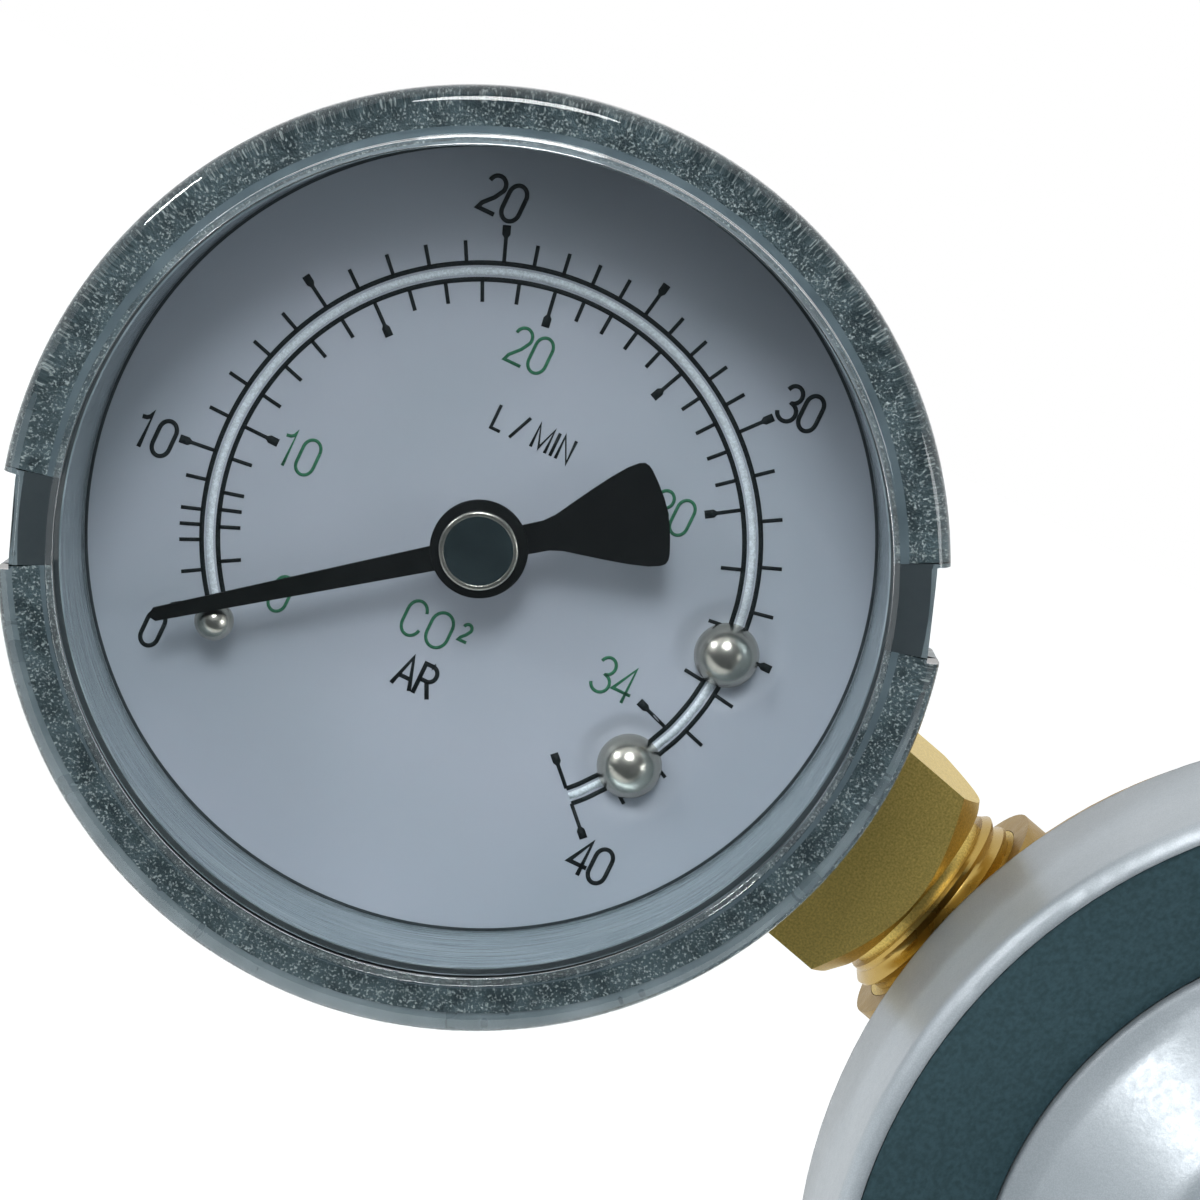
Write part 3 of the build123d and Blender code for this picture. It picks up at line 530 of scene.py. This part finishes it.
# The dial's centre and face, from the frame. The front of the dial looks along -Y.
def dialCentre(gauge):
    centre = middle(gauge + "_dial")
    return Vector((centre.x, low(gauge + "_dial").y, centre.z))


def gaugeMatrix(gauge, turn=0.0):
    return Matrix.Translation(dialCentre(gauge)) @ Matrix.Rotation(-math.radians(turn), 4, "Y")


# The moulded cap is drawn in three parts: clear front, satin skirt and the stippled band between them.
capSettings = {
    "corner": 1.4,          # rounding of the front edge
    "rimWidth": 3.0,        # of the raised rim round the window
    "windowDrop": 0.35,     # the window lies this far behind the rim
    "windowThickness": 1.8,
    "seatLift": 0.32,       # of the bands, ahead of the case's rim
    "stipple": (25.15, 26.6),
    "bandThickness": 0.02,
    "skirtGap": 0.05,
    "notchWidth": 5.7,
    "notchDepth": 1.0,
    "spacerWall": 0.5,
    "segments": 200,
}


# The three parts' sizes, from the frame's solids.
def capSizes(gauge, values):
    face = dialCentre(gauge).y
    outer = (high(gauge + "_lens") - low(gauge + "_lens")).x / 2
    caseOuter = (high(gauge + "_case") - low(gauge + "_case")).x / 2
    return {
        "outer": outer,
        "front": low(gauge + "_lens").y - face,
        "hem": high(gauge + "_lens").y - face,
        "skirtInner": caseOuter + values["skirtGap"],
        "seatInner": (high(gauge + "_spacer") - low(gauge + "_spacer")).x / 2 + 0.1,
        "seat": low(gauge + "_case").y - face - values["seatLift"],
        "halfNotch": math.asin(values["notchWidth"] / 2 / outer),
    }


def notchAngles(sizes, values):
    angles = evenAngles(values["segments"])
    for side in (0, math.pi):
        for edge in (-sizes["halfNotch"], sizes["halfNotch"]):
            angles += [(side + edge * share) % (2 * math.pi) for share in (0.998, 1.002)]
    return sorted(angles)


def makeCap(gauge, values):
    sizes = capSizes(gauge, values)
    flat = sizes["outer"] - values["notchDepth"]

    def notched(point, angle):
        if abs(math.sin(angle)) <= math.sin(sizes["halfNotch"]) and abs(point.x) > flat:
            point.x = math.copysign(flat, point.x)
        return point

    pane = sizes["front"] + values["windowDrop"]
    rim = sizes["outer"] - values["rimWidth"]
    back = pane + values["windowThickness"]
    t = values["bandThickness"]
    front = rounded([
        (0, pane, 0), (rim - values["windowDrop"], pane, 0.2), (rim, sizes["front"], 0.2),
        (sizes["outer"], sizes["front"], values["corner"]), (sizes["outer"], sizes["seat"] - t, 0),
        (sizes["seatInner"], sizes["seat"] - t, 0.1), (sizes["seatInner"], back, 0.2), (0, back, 0),
    ])
    skirt = rounded([
        (sizes["outer"] - 0.02, sizes["seat"] + t, 0), (sizes["outer"] - 0.02, sizes["hem"], 0.4),
        (sizes["skirtInner"], sizes["hem"], 0.1), (sizes["skirtInner"], sizes["seat"] + t, 0),
    ])
    matrix = gaugeMatrix(gauge, gauges[gauge]["notch"])
    angles = notchAngles(sizes, values)
    finishPiece(turned(front, angles, notched), gauge + "Cap", finishes["clear_lens"],
                "regulator", (gauge + "_lens",), matrix, 50.0)
    finishPiece(turned(skirt, angles, notched), gauge + "CapSkirt", finishes["capSkirt"],
                "regulator", (), matrix, 50.0)
    inner = sizes["seatInner"] + 0.05
    split, outer = values["stipple"]
    edge = sizes["halfNotch"]
    for side in (0, math.pi):
        between = (side + edge, side + math.pi - edge)
        arcBand(gauge, sizes, values, between, (split, outer), "capStipple", matrix)
        # The grey band inside the stipple is a painted reflection of the cap's inner bevel.
        arcBand(gauge, sizes, values, between, (inner, split), "rimGrey", matrix)
        # In the notches a dark band shows the case's dark colour.
        arcBand(gauge, sizes, values, (side - edge, side + edge), (inner, flat - 0.1), "rimLine", matrix)
    spacerInner = (high(gauge + "_spacer") - low(gauge + "_spacer")).x / 2 - values["spacerWall"]
    # Thin dark rings at the spacer's front and at its foot on the dial: painted shade in the gaps between
    # parts.
    lines = {
        "FrontShadeLine": (spacerInner + 0.1, spacerInner + values["spacerWall"] - 0.05, sizes["seat"] + 0.3),
        "FootShadeLine": (spacerInner - 0.22, spacerInner - 0.02, -0.03),
    }
    for name, (first, last, along) in lines.items():
        ring = [(first, along), (last, along), (last, along + 0.02), (first, along + 0.02)]
        bm = turned(ring, evenAngles(values["segments"]))
        finishPiece(bm, gauge + name, finishes["rimLine"], "regulator", (), matrix)


# Flat band between the cap's front and its skirt, over part of a turn.
def arcBand(gauge, sizes, values, turn, reach, finish, matrix):
    start, end = turn
    near = sizes["seat"] - values["bandThickness"] * 0.9
    far = sizes["seat"] + values["bandThickness"] * 0.9
    count = max(3, int(math.degrees(end - start) / 2))
    rings = []
    for i in range(count + 1):
        angle = start + (end - start) * i / count
        outline = ((reach[0], near), (reach[1], near), (reach[1], far), (reach[0], far))
        rings.append([(r * math.cos(angle), y, r * math.sin(angle)) for r, y in outline])
    name = gauge + finish[0].upper() + finish[1:] + "Band" + str(int(math.degrees(start) % 360))
    finishPiece(tube(rings), name, finishes[finish], "regulator", (), matrix)


rivetSettings = {
    "across": (15.765, 4.52),  # a rivet's place from the dial's centre, along and across the stem
    "side": 16.0,              # degrees to each side of the stem
    "radius": 2.0,
    "sunk": 0.3,
    "shank": 1.15,
    "length": 4.0,
    "dimple": 3.5,
    "floor": 2.3,
}
dialSettings = {"hole": 1.5, "rings": 110, "around": 240}


def rivetSpots(gauge):
    circle = math.hypot(*rivetSettings["across"])
    spots = []
    for side in (-1, 1):
        angle = math.radians(gauges[gauge]["stem"] + side * rivetSettings["side"])
        spots.append((circle * math.cos(angle), circle * math.sin(angle)))
    return spots


# How far the dial's sheet is pressed in at a place, round the rivets.
def dialDepth(gauge, x, z):
    depth = 0.0
    for spotX, spotZ in rivetSpots(gauge):
        away = math.hypot(x - spotX, z - spotZ)
        share = (rivetSettings["dimple"] - away) / (rivetSettings["dimple"] - rivetSettings["floor"])
        share = max(0.0, min(1.0, share))
        depth = max(depth, rivetSettings["sunk"] * share * share * (3 - 2 * share))
    return depth


# Dial sheet with a soft dimple round each rivet. Its last ring meets the first one.
def makeDial(gauge, values):
    box = high(gauge + "_dial") - low(gauge + "_dial")
    hole, outer, thickness = values["hole"], box.x / 2, box.y

    def ring(radius, depth=None):
        points = []
        for angle in evenAngles(values["around"]):
            x, z = radius * math.cos(angle), radius * math.sin(angle)
            points.append((x, dialDepth(gauge, x, z) if depth is None else depth, z))
        return points

    count = values["rings"]
    rings = [ring(hole + (outer - hole) * i / count) for i in range(count + 1)]
    rings += [ring(outer, thickness), ring(hole, thickness), rings[0]]
    finishPiece(tube(rings, False), gauge + "Dial", finishes["dial_white"], "regulator",
                (gauge + "_dial",), gaugeMatrix(gauge))


# The front of a ball whose foremost point stands at tip, as far round as turn.
def ball(radius, tip, turn, steps):
    angles = [turn * i / steps for i in range(steps + 1)]
    return [Vector((radius * math.sin(a), tip + radius - radius * math.cos(a))) for a in angles]


# Ball-headed rivets through the dial.
def makeRivets(gauge, values):
    for number, (x, z) in enumerate(rivetSpots(gauge)):
        outline = ball(values["radius"], values["sunk"] - values["radius"], math.pi / 2, 24)
        outline += [Vector((values["shank"], values["sunk"])), Vector((values["shank"], values["length"])),
                    Vector((0, values["length"]))]
        stands = (gauge + "_dial_rivets",) if number == 0 else ()
        matrix = gaugeMatrix(gauge) @ Matrix.Translation((x, 0, z))
        finishPiece(turned(outline, evenAngles(64)), gauge + "Rivet" + str(number + 1), finishes["nickel"],
                    "regulator", stands, matrix)


stopSettings = {"shank": 0.5}


def makeStopPin(gauge, values):
    node = gauge + "_stop_pin"
    centre, foot = middle(node), high(node).y
    radius = (high(node) - low(node)).x / 2
    shank = values["shank"]
    outline = ball(radius, low(node).y, math.pi - math.asin(shank / radius), 20)
    outline += [Vector((shank, foot)), Vector((0, foot))]
    finishPiece(turned(outline, evenAngles(48)), gauge + "StopBall", finishes["nickel"],
                "regulator", (node,), Matrix.Translation((centre.x, 0, centre.z)))


# The hand: tapered arm, round hub and a full tail with rounded corners. The tail points along +X here.
pointerSettings = {
    "tail": [(2.9, 0.88), (4.1, 0.9), (4.9, 1.1), (6.0, 1.58), (7.3, 2.14), (8.6, 2.66), (9.7, 3.02),
             (10.4, 3.13), (10.75, 3.08), (10.97, 2.86), (11.1, 2.55), (11.3, 1.7), (11.45, 0.8),
             (11.5, 0.0)],      # how far out, and half its width there
    "tip": 0.4,            # half width of the arm at its tip
    "root": 0.8,           # half width of the arm at the hub
    "hub": 2.95,
    "hubStep": 0.2,        # the hub stands this far ahead of the arm
    "bossEdge": 0.32,      # width of the bright edge of the boss
}


def makePointer(gauge, values):
    node, body = gauge + "_pointer", gauge + "_hand"
    centre = dialCentre(gauge)
    places = [vertex.co / mm - centre for vertex in nodes[node].data.vertices]
    tip = max(places, key=lambda place: math.hypot(place.x, place.z))
    reach = math.hypot(tip.x, tip.z)
    matrix = gaugeMatrix(gauge, math.degrees(math.atan2(tip.z, tip.x)) + 180)
    hubFront = low(node).y - centre.y
    front, back = hubFront + values["hubStep"], high(node).y - centre.y
    stations = [(-reach, 0.0), (values["tip"] - reach, values["tip"]), (0.0, values["root"])]
    rings = [[(x, front, half), (x, front, -half), (x, back, -half), (x, back, half)]
             for x, half in stations + values["tail"]]
    black = finishes["pointer_black"]
    finishPiece(tube(rings, False), gauge + "Pointer", black, body, (node,), matrix)
    hub = rounded([
        (0, hubFront, 0), (values["hub"], hubFront, 0.12), (values["hub"], back, 0), (0, back, 0),
    ])
    around = evenAngles(72)
    finishPiece(turned(hub, around), gauge + "PointerHub", black, body, (), matrix)
    boss = node + "_boss"
    top, foot = low(boss).y - centre.y, high(boss).y - centre.y
    outer = (high(boss) - low(boss)).x / 2
    inner = outer - values["bossEdge"]
    edge = rounded([(inner, top, 0.05), (outer, top, 0.25), (outer, foot, 0), (inner, foot, 0)])
    finishPiece(turned(edge, around), gauge + "BossEdge", finishes["nickel"], body,
                (boss,), matrix, 60.0)
    face = [(0, top + 0.05), (inner, top + 0.05), (inner, foot), (0, foot)]
    finishPiece(turned(face, around), gauge + "BossFace", finishes["bossSteel"], body,
                (), matrix)


# Print on the dials. Figures are drawn with strokes in a box one unit high.
def bow(centreX, centreY, across, up, start, end, steps=14):
    turns = [math.radians(start + (end - start) * i / steps) for i in range(steps + 1)]
    return [(centreX + across * math.cos(t), centreY + up * math.sin(t)) for t in turns]


# Each figure: how far it moves the pen on, and its strokes.
glyphs = {
    "0": (0.5, [bow(0.25, 0.72, 0.2, 0.28, 0, 180)
                + bow(0.25, 0.28, 0.2, 0.28, 180, 360) + [(0.45, 0.72)]]),
    "1": (0.5, [[(0.1, 0.8), (0.2, 0.82), (0.27, 0.88), (0.3, 1.0), (0.3, 0.0)]]),
    "2": (0.5, [bow(0.24, 0.75, 0.19, 0.25, 172, -20)
                + [(0.3, 0.42), (0.1, 0.16), (0.05, 0.0), (0.45, 0.0)]]),
    "3": (0.5, [bow(0.24, 0.76, 0.18, 0.24, 165, -80) + bow(0.24, 0.26, 0.21, 0.26, 82, -165)]),
    "4": (0.5, [[(0.36, 0.0), (0.36, 1.0), (0.04, 0.28), (0.48, 0.28)]]),
    "C": (0.6, [bow(0.28, 0.68, 0.22, 0.32, 12, 180) + bow(0.28, 0.32, 0.22, 0.32, 180, 348)]),
    "O": (0.64, [bow(0.31, 0.66, 0.25, 0.34, 0, 180)
                 + bow(0.31, 0.34, 0.25, 0.34, 180, 360) + [(0.56, 0.66)]]),
    "L": (0.5, [[(0.08, 1.0), (0.08, 0.0), (0.42, 0.0)]]),
    "/": (0.45, [[(0.02, -0.04), (0.4, 1.04)]]),
    "M": (0.68, [[(0.08, 0.0), (0.08, 1.0), (0.34, 0.1), (0.6, 1.0), (0.6, 0.0)]]),
    "I": (0.24, [[(0.12, 0.0), (0.12, 1.0)]]),
    "N": (0.56, [[(0.08, 0.0), (0.08, 1.0), (0.48, 0.0), (0.48, 1.0)]]),
    "A": (0.54, [[(0.02, 0.0), (0.27, 1.0), (0.52, 0.0)], [(0.11, 0.34), (0.43, 0.34)]]),
    "R": (0.54, [[(0.08, 0.0), (0.08, 1.0), (0.28, 1.0)]
                 + bow(0.28, 0.75, 0.18, 0.25, 90, -90) + [(0.08, 0.5)],
                 [(0.28, 0.5), (0.48, 0.0)]]),
    "B": (0.54, [[(0.08, 0.5), (0.08, 1.0), (0.26, 1.0)] + bow(0.26, 0.76, 0.18, 0.24, 90, -90)
                 + bow(0.26, 0.26, 0.21, 0.26, 90, -90) + [(0.08, 0.0), (0.08, 0.52), (0.26, 0.52)]]),
    " ": (0.26, []),
}


# Lays a line of even width on the dial. Its ends may have widths of their own.
def layLine(bm, gauge, points, width):
    widths = width if isinstance(width, (list, tuple)) else [width] * len(points)
    points = [Vector(p) for p in points]
    sides = []
    for i, here in enumerate(points):
        before = (here - points[i - 1]).normalized() if i else None
        after = (points[i + 1] - here).normalized() if i < len(points) - 1 else None
        along = ((before or after) + (after or before)).normalized()
        normal = Vector((-along.y, along.x))
        bend = abs(along.dot(before or after))
        reach = widths[i] / 2 / max(bend, 0.5)
        sides.append([here + normal * reach, here - normal * reach])
    row = []
    for pair in sides:
        depths = [dialDepth(gauge, p.x, p.y) - printSettings["lift"] for p in pair]
        row.append([bm.verts.new((p.x, depth, p.y)) for p, depth in zip(pair, depths)])
    for first, second in zip(row, row[1:]):
        bm.faces.new((first[0], second[0], second[1], first[1]))


def onCircle(radius, angle):
    return (radius * math.cos(math.radians(angle)), -radius * math.sin(math.radians(angle)))


def layArc(bm, gauge, radius, start, end, width):
    steps = int(abs(end - start))
    points = [onCircle(radius, start + (end - start) * i / steps) for i in range(steps + 1)]
    layLine(bm, gauge, points, width)


def layTick(bm, gauge, start, length, angle, major):
    values = printSettings
    end = start + length
    if not major:
        layLine(bm, gauge, [onCircle(start, angle), onCircle(end, angle)], values["tickWidth"])
        return
    neck = end - math.copysign(values["headLength"], length)
    stations = [start, neck, neck + (end - neck) * 0.25, end]
    widths = [values["tickWidth"], values["tickWidth"], values["headWidth"], values["headWidth"]]
    layLine(bm, gauge, [onCircle(r, angle) for r in stations], widths)


def layText(bm, gauge, text, centre, height, stroke):
    across = height * printSettings["figureWidth"]
    x = centre[0] - sum(glyphs[letter][0] for letter in text) * across / 2
    for letter in text:
        advance, strokes = glyphs[letter]
        for points in strokes:
            places = [(x + px * across, centre[1] + (py - 0.5) * height) for px, py in points]
            layLine(bm, gauge, places, stroke)
        x += advance * across


def layFigures(bm, gauge, figures, stroke):
    for value, centre in figures.items():
        layText(bm, gauge, str(value), centre, printSettings["figureHeight"], stroke)


def layWords(prints, gauge, words):
    for word in words:
        layText(prints[word["shade"]], gauge, word["text"], word["at"], word["height"], word["stroke"])


printSettings = {
    "lift": 0.012,        # of the ink above the dial
    "arcOuter": 16.92,
    "arcInner": 15.93,
    "arcWidth": 0.29,
    "paleWidth": 0.42,
    "tickWidth": 0.23,
    "headWidth": 0.5,
    "headLength": 0.75,
    "minor": 1.35,
    "major": 2.3,
    "figureHeight": 2.25,
    "figureStroke": 0.27,
    "innerStroke": 0.2,
    "figureWidth": 1.2,
    "end": 405.4,
    "inkDepth": 0.01,
}
# Where the printed values stand, in degrees clockwise from the right. Both flow scales are uneven.
outerScale = {0: 142.5, 10: 173.5, 20: 249.1, 30: 310.7, 40: 405.4}
innerScale = {0: 142.5, 10: 180.6, 20: 260.8, 30: 326.8, 34: 379.5}
outerFigures = {
    0: (-15.7, -13.4), 10: (-20.6, -2.6), 20: (-7.7, 19.3), 30: (13.8, 15.75), 40: (14.5, -14.8),
}
innerFigures = {0: (-9.6, -8.1), 10: (-12.3, 0.15), 20: (-2.35, 11.8), 30: (9.6, 6.7), 34: (10.9, -4.0)}
flowWords = [
    {"text": "L / MIN", "at": (0, 7.35), "height": 1.5, "stroke": 0.2, "shade": "black"},
    {"text": "CO", "at": (-0.75, -5.9), "height": 2.25, "stroke": 0.2, "shade": "green"},
    {"text": "2", "at": (1.55, -5.35), "height": 1.1, "stroke": 0.2, "shade": "green"},
    {"text": "AR", "at": (0, -9.1), "height": 2.0, "stroke": 0.27, "shade": "black"},
]


def scaleAngle(scale, value):
    marks = sorted(scale)
    for first, second in zip(marks, marks[1:]):
        if first <= value <= second:
            return scale[first] + (scale[second] - scale[first]) * (value - first) / (second - first)
    return scale[marks[-1]]


def scaleSteps(last):
    return [v for v in range(0, last + 1) if v % 2 == 0 or v > 10 or v == 5]


def printFlowDial():
    values = printSettings
    prints = {shade: bmesh.new() for shade in ("black", "green", "pale")}
    black = prints["black"]
    start = outerScale[0]
    layArc(black, "flow", values["arcOuter"], start, values["end"], values["arcWidth"])
    layArc(black, "flow", values["arcInner"], start, values["end"], values["arcWidth"])
    for value in scaleSteps(40):
        major = value % 5 == 0 and value != 5
        length = values["major"] if major else values["minor"]
        layTick(black, "flow", values["arcOuter"], length, scaleAngle(outerScale, value), major)
    for value in scaleSteps(34):
        major = value == 34 or (value % 5 == 0 and value != 5)
        length = values["major"] if major else values["minor"]
        layTick(black, "flow", values["arcInner"], -length, scaleAngle(innerScale, value), major)
    layTick(black, "flow", values["arcInner"], -values["major"], values["end"], True)
    layFigures(black, "flow", outerFigures, values["figureStroke"])
    layFigures(prints["green"], "flow", innerFigures, values["innerStroke"])
    layWords(prints, "flow", flowWords)
    between = (values["arcOuter"] + values["arcInner"]) / 2
    layArc(prints["pale"], "flow", between, start, values["end"], values["paleWidth"])
    return prints


contentsScale = {0: 135.0, 300: 405.0}
contentsFigures = {0: (-14.3, -14.3), 100: (-15.2, 14.2), 200: (15.2, 14.2), 300: (13.6, -14.8)}
contentsWords = [{"text": "BAR", "at": (0, 7.35), "height": 1.6, "stroke": 0.2, "shade": "black"}]


def printContentsDial():
    values = printSettings
    black = bmesh.new()
    outer = values["arcOuter"]
    layArc(black, "contents", outer, contentsScale[0], contentsScale[300], values["arcWidth"])
    for value in range(0, 301, 10):
        major = value % 50 == 0
        length = values["major"] if major else values["minor"]
        layTick(black, "contents", outer - length, length, scaleAngle(contentsScale, value), major)
    layFigures(black, "contents", contentsFigures, values["figureStroke"])
    layWords({"black": black}, "contents", contentsWords)
    return {"black": black}


def makePrint():
    for gauge, prints in (("flow", printFlowDial()), ("contents", printContentsDial())):
        for shade, bm in prints.items():
            piece = finishPiece(bm, gauge + "Print" + shade.capitalize(), ink[shade], "regulator",
                                (), gaugeMatrix(gauge))
            sheet = piece.modifiers.new("inkDepth", "SOLIDIFY")
            sheet.thickness = printSettings["inkDepth"] * mm
            sheet.offset = 0.0


# Threads of the gauge stems, between wrench square and port, and of the adjusting screw.
threadSettings = {
    "stemPitch": 1.34,
    "stemCrest": 6.82,
    "stemRoot": 6.25,
    "stemFlats": 14.3,
    "stemEnds": (36.15, 38.28),  # out from the middle of the gauge
    "screwPitch": 2.0,
    "screwCrest": 5.95,
    "screwDepth": 1.15,
    "headLength": 12.0,
    "headHold": 0.5,             # of the thread inside the head
}


def makeStemThread(gauge, values):
    face = dialCentre(gauge)
    axisY = high(gauge + "_socket").y - values["stemFlats"] / 2
    matrix = (Matrix.Translation((face.x, axisY, face.z))
              @ Matrix.Rotation(-math.radians(gauges[gauge]["stem"]), 4, "Y")
              @ Matrix.Rotation(-math.pi / 2, 4, "Z"))
    bm = threadedBar(values["stemCrest"], values["stemRoot"], values["stemPitch"], *values["stemEnds"], 48)
    finishPiece(bm, gauge + "StemThread", finishes["stemThread"], "regulator", (), matrix)


# Adjusting screw with its thread and round head.
def makeScrew(values):
    front, tip = low("adjusting_screw").y, high("adjusting_screw").y
    head = (high("adjusting_screw") - low("adjusting_screw")).x / 2
    headEnd = front + values["headLength"]
    crest, plated = values["screwCrest"], finishes["plated_steel"]
    bm = threadedBar(crest, crest - values["screwDepth"], values["screwPitch"],
                     headEnd - values["headHold"], tip, 40)
    finishPiece(bm, "screwThread", plated, "adjuster", crispAngle=60.0)
    outline = rounded([(0, front, 0), (head, front, 1.2), (head, headEnd, 1.0), (0, headEnd, 0)])
    bm = turned(outline, evenAngles(64))
    finishPiece(bm, "screwHead", plated, "adjuster", ("adjusting_screw",))


for gauge in gauges:
    makeDial(gauge, dialSettings)
    makeRivets(gauge, rivetSettings)
    makeStopPin(gauge, stopSettings)
    makePointer(gauge, pointerSettings)
    makeCap(gauge, capSettings)
    makeStemThread(gauge, threadSettings)
makePrint()
makeScrew(threadSettings)


# Floor, light and background
stageSettings = {
    "floorGap": 1.0,      # under the lowest point
    "floorSize": 4000.0,
    "floorTone": colour(236, 238, 240),
    "floorWhite": 0.6,    # share of plain white in what the camera sees of the floor
    "floorGlow": 1.6,
    "ambient": 0.3,
    "ambientTone": colour(226, 244, 243),
}


# A flat sheet of the stage. Its size is in millimetres.
def makeSheet(name, width, depth, finish):
    bm = bmesh.new()
    wide, deep = width / 2 * mm, depth / 2 * mm
    corners = [(-wide, -deep, 0), (wide, -deep, 0), (wide, deep, 0), (-wide, deep, 0)]
    bm.faces.new([bm.verts.new(corner) for corner in corners])
    mesh = bpy.data.meshes.new(name)
    bm.to_mesh(mesh)
    bm.free()
    mesh.materials.append(finish.material)
    sheet = bpy.data.objects.new(name, mesh)
    bpy.context.scene.collection.objects.link(sheet)
    return sheet


def makeFloor(values):
    finish = Finish("floorWhite")
    finish.put(Base_Color=values["floorTone"], Roughness=0.9, Specular_IOR_Level=0.0)
    glow = finish.add("ShaderNodeEmission")
    glow.inputs["Strength"].default_value = values["floorGlow"]
    mix = finish.add("ShaderNodeMixShader")
    finish.join(finish.span(seenDirectly(finish), 0, 1, 0, values["floorWhite"]), mix.inputs[0])
    finish.join(finish.shader.outputs[0], mix.inputs[1])
    finish.join(glow.outputs[0], mix.inputs[2])
    finish.join(mix.outputs[0], finish.tree.nodes["Material Output"].inputs["Surface"])
    floor = makeSheet("floor", values["floorSize"], values["floorSize"], finish)
    height = (min(low(name).z for name in nodes) - values["floorGap"]) * mm
    floor.matrix_world = Matrix.Translation((0, 0, height))


# 1 for what the camera, a mirror or a clear piece sees, 0 for light that falls on things.
def seenDirectly(finish):
    path = finish.add("ShaderNodeLightPath").outputs
    first = finish.count("MAXIMUM", path["Is Camera Ray"], path["Is Glossy Ray"])
    return finish.count("MAXIMUM", first, path["Is Transmission Ray"])


def makeWorld(values):
    world = bpy.data.worlds.new("studio")
    bpy.context.scene.world = world
    world.use_nodes = True
    finish = Finish("studio", world.node_tree)
    soft = world.node_tree.nodes["Background"]
    soft.inputs["Color"].default_value = values["ambientTone"]
    soft.inputs["Strength"].default_value = values["ambient"]
    white = finish.add("ShaderNodeBackground")
    white.inputs["Color"].default_value = (1, 1, 1, 1)
    mix = finish.add("ShaderNodeMixShader")
    finish.join(seenDirectly(finish), mix.inputs[0])
    finish.join(soft.outputs[0], mix.inputs[1])
    finish.join(white.outputs[0], mix.inputs[2])
    finish.join(mix.outputs[0], world.node_tree.nodes["World Output"].inputs["Surface"])


# Soft lamps: size and place in millimetres from the flow dial, power in watts.
lampSettings = {
    "key": {"at": (-130, -370, 310), "size": 180, "power": 1.4},
    "left": {"at": (-330, -150, 110), "size": 60, "power": 0.5},
    "right": {"at": (400, -330, 180), "size": 170, "power": 0.4},
}
# Dark boards outside the view, which only mirrors and clear pieces see.
boardSettings = {
    "behindCamera": {"at": (0, -620, 500), "size": (1500, 1200), "tone": colour(76, 82, 86), "tilt": 90},
    "onFloor": {"at": (0, -400, -104), "size": (1500, 560), "tone": colour(66, 72, 74), "tilt": 0},
}


def aimedAt(place, target):
    return (target - place).to_track_quat("-Z", "Y").to_matrix().to_4x4()


def makeLamps():
    target = dialCentre("flow") * mm
    for name, values in lampSettings.items():
        lamp = bpy.data.lights.new(name, "AREA")
        lamp.shape = "DISK"
        lamp.size = values["size"] * mm
        lamp.energy = values["power"]
        holder = bpy.data.objects.new(name, lamp)
        at = target + Vector(values["at"]) * mm
        holder.matrix_world = Matrix.Translation(at) @ aimedAt(at, target)
        holder.visible_camera = False
        bpy.context.scene.collection.objects.link(holder)


def makeBoards():
    target = dialCentre("flow") * mm
    for name, values in boardSettings.items():
        finish = Finish(name)
        finish.put(Base_Color=colour(0, 0, 0), Roughness=1.0, Specular_IOR_Level=0.0)
        finish.put(Emission_Color=values["tone"], Emission_Strength=1.0)
        board = makeSheet(name, *values["size"], finish)
        tilt = Matrix.Rotation(math.radians(values["tilt"]), 4, "X")
        board.matrix_world = Matrix.Translation(target + Vector(values["at"]) * mm) @ tilt
        board.visible_camera = False
        board.visible_diffuse = False
        board.visible_shadow = False


# The camera stands in front of the flow gauge, a little above it, and is rolled clockwise.
cameraSettings = {
    "fromDial": (-3.50, -217.50, 28.90),
    "forward": (0.0524, 0.9899, -0.1318),
    "right": (0.9002, 0.0103, 0.4354),
    "lens": 108.5,
    "sensor": 36.0,
}


def makeCamera(values):
    lens = bpy.data.cameras.new("viewer")
    lens.lens = values["lens"]
    lens.sensor_width = values["sensor"]
    lens.clip_start = 0.01
    lens.clip_end = 20.0
    viewer = bpy.data.objects.new("viewer", lens)
    forward = Vector(values["forward"]).normalized()
    right = Vector(values["right"])
    right = (right - forward * right.dot(forward)).normalized()
    up = right.cross(forward)
    turn = Matrix((right, up, -forward)).transposed().to_4x4()
    at = (dialCentre("flow") + Vector(values["fromDial"])) * mm
    viewer.matrix_world = Matrix.Translation(at) @ turn
    bpy.context.scene.collection.objects.link(viewer)
    bpy.context.scene.camera = viewer


makeFloor(stageSettings)
makeWorld(stageSettings)
makeLamps()
makeBoards()
makeCamera(cameraSettings)
bpy.context.scene.view_settings.view_transform = "Standard"
print("stage and camera made")

bpy.context.view_layer.update()
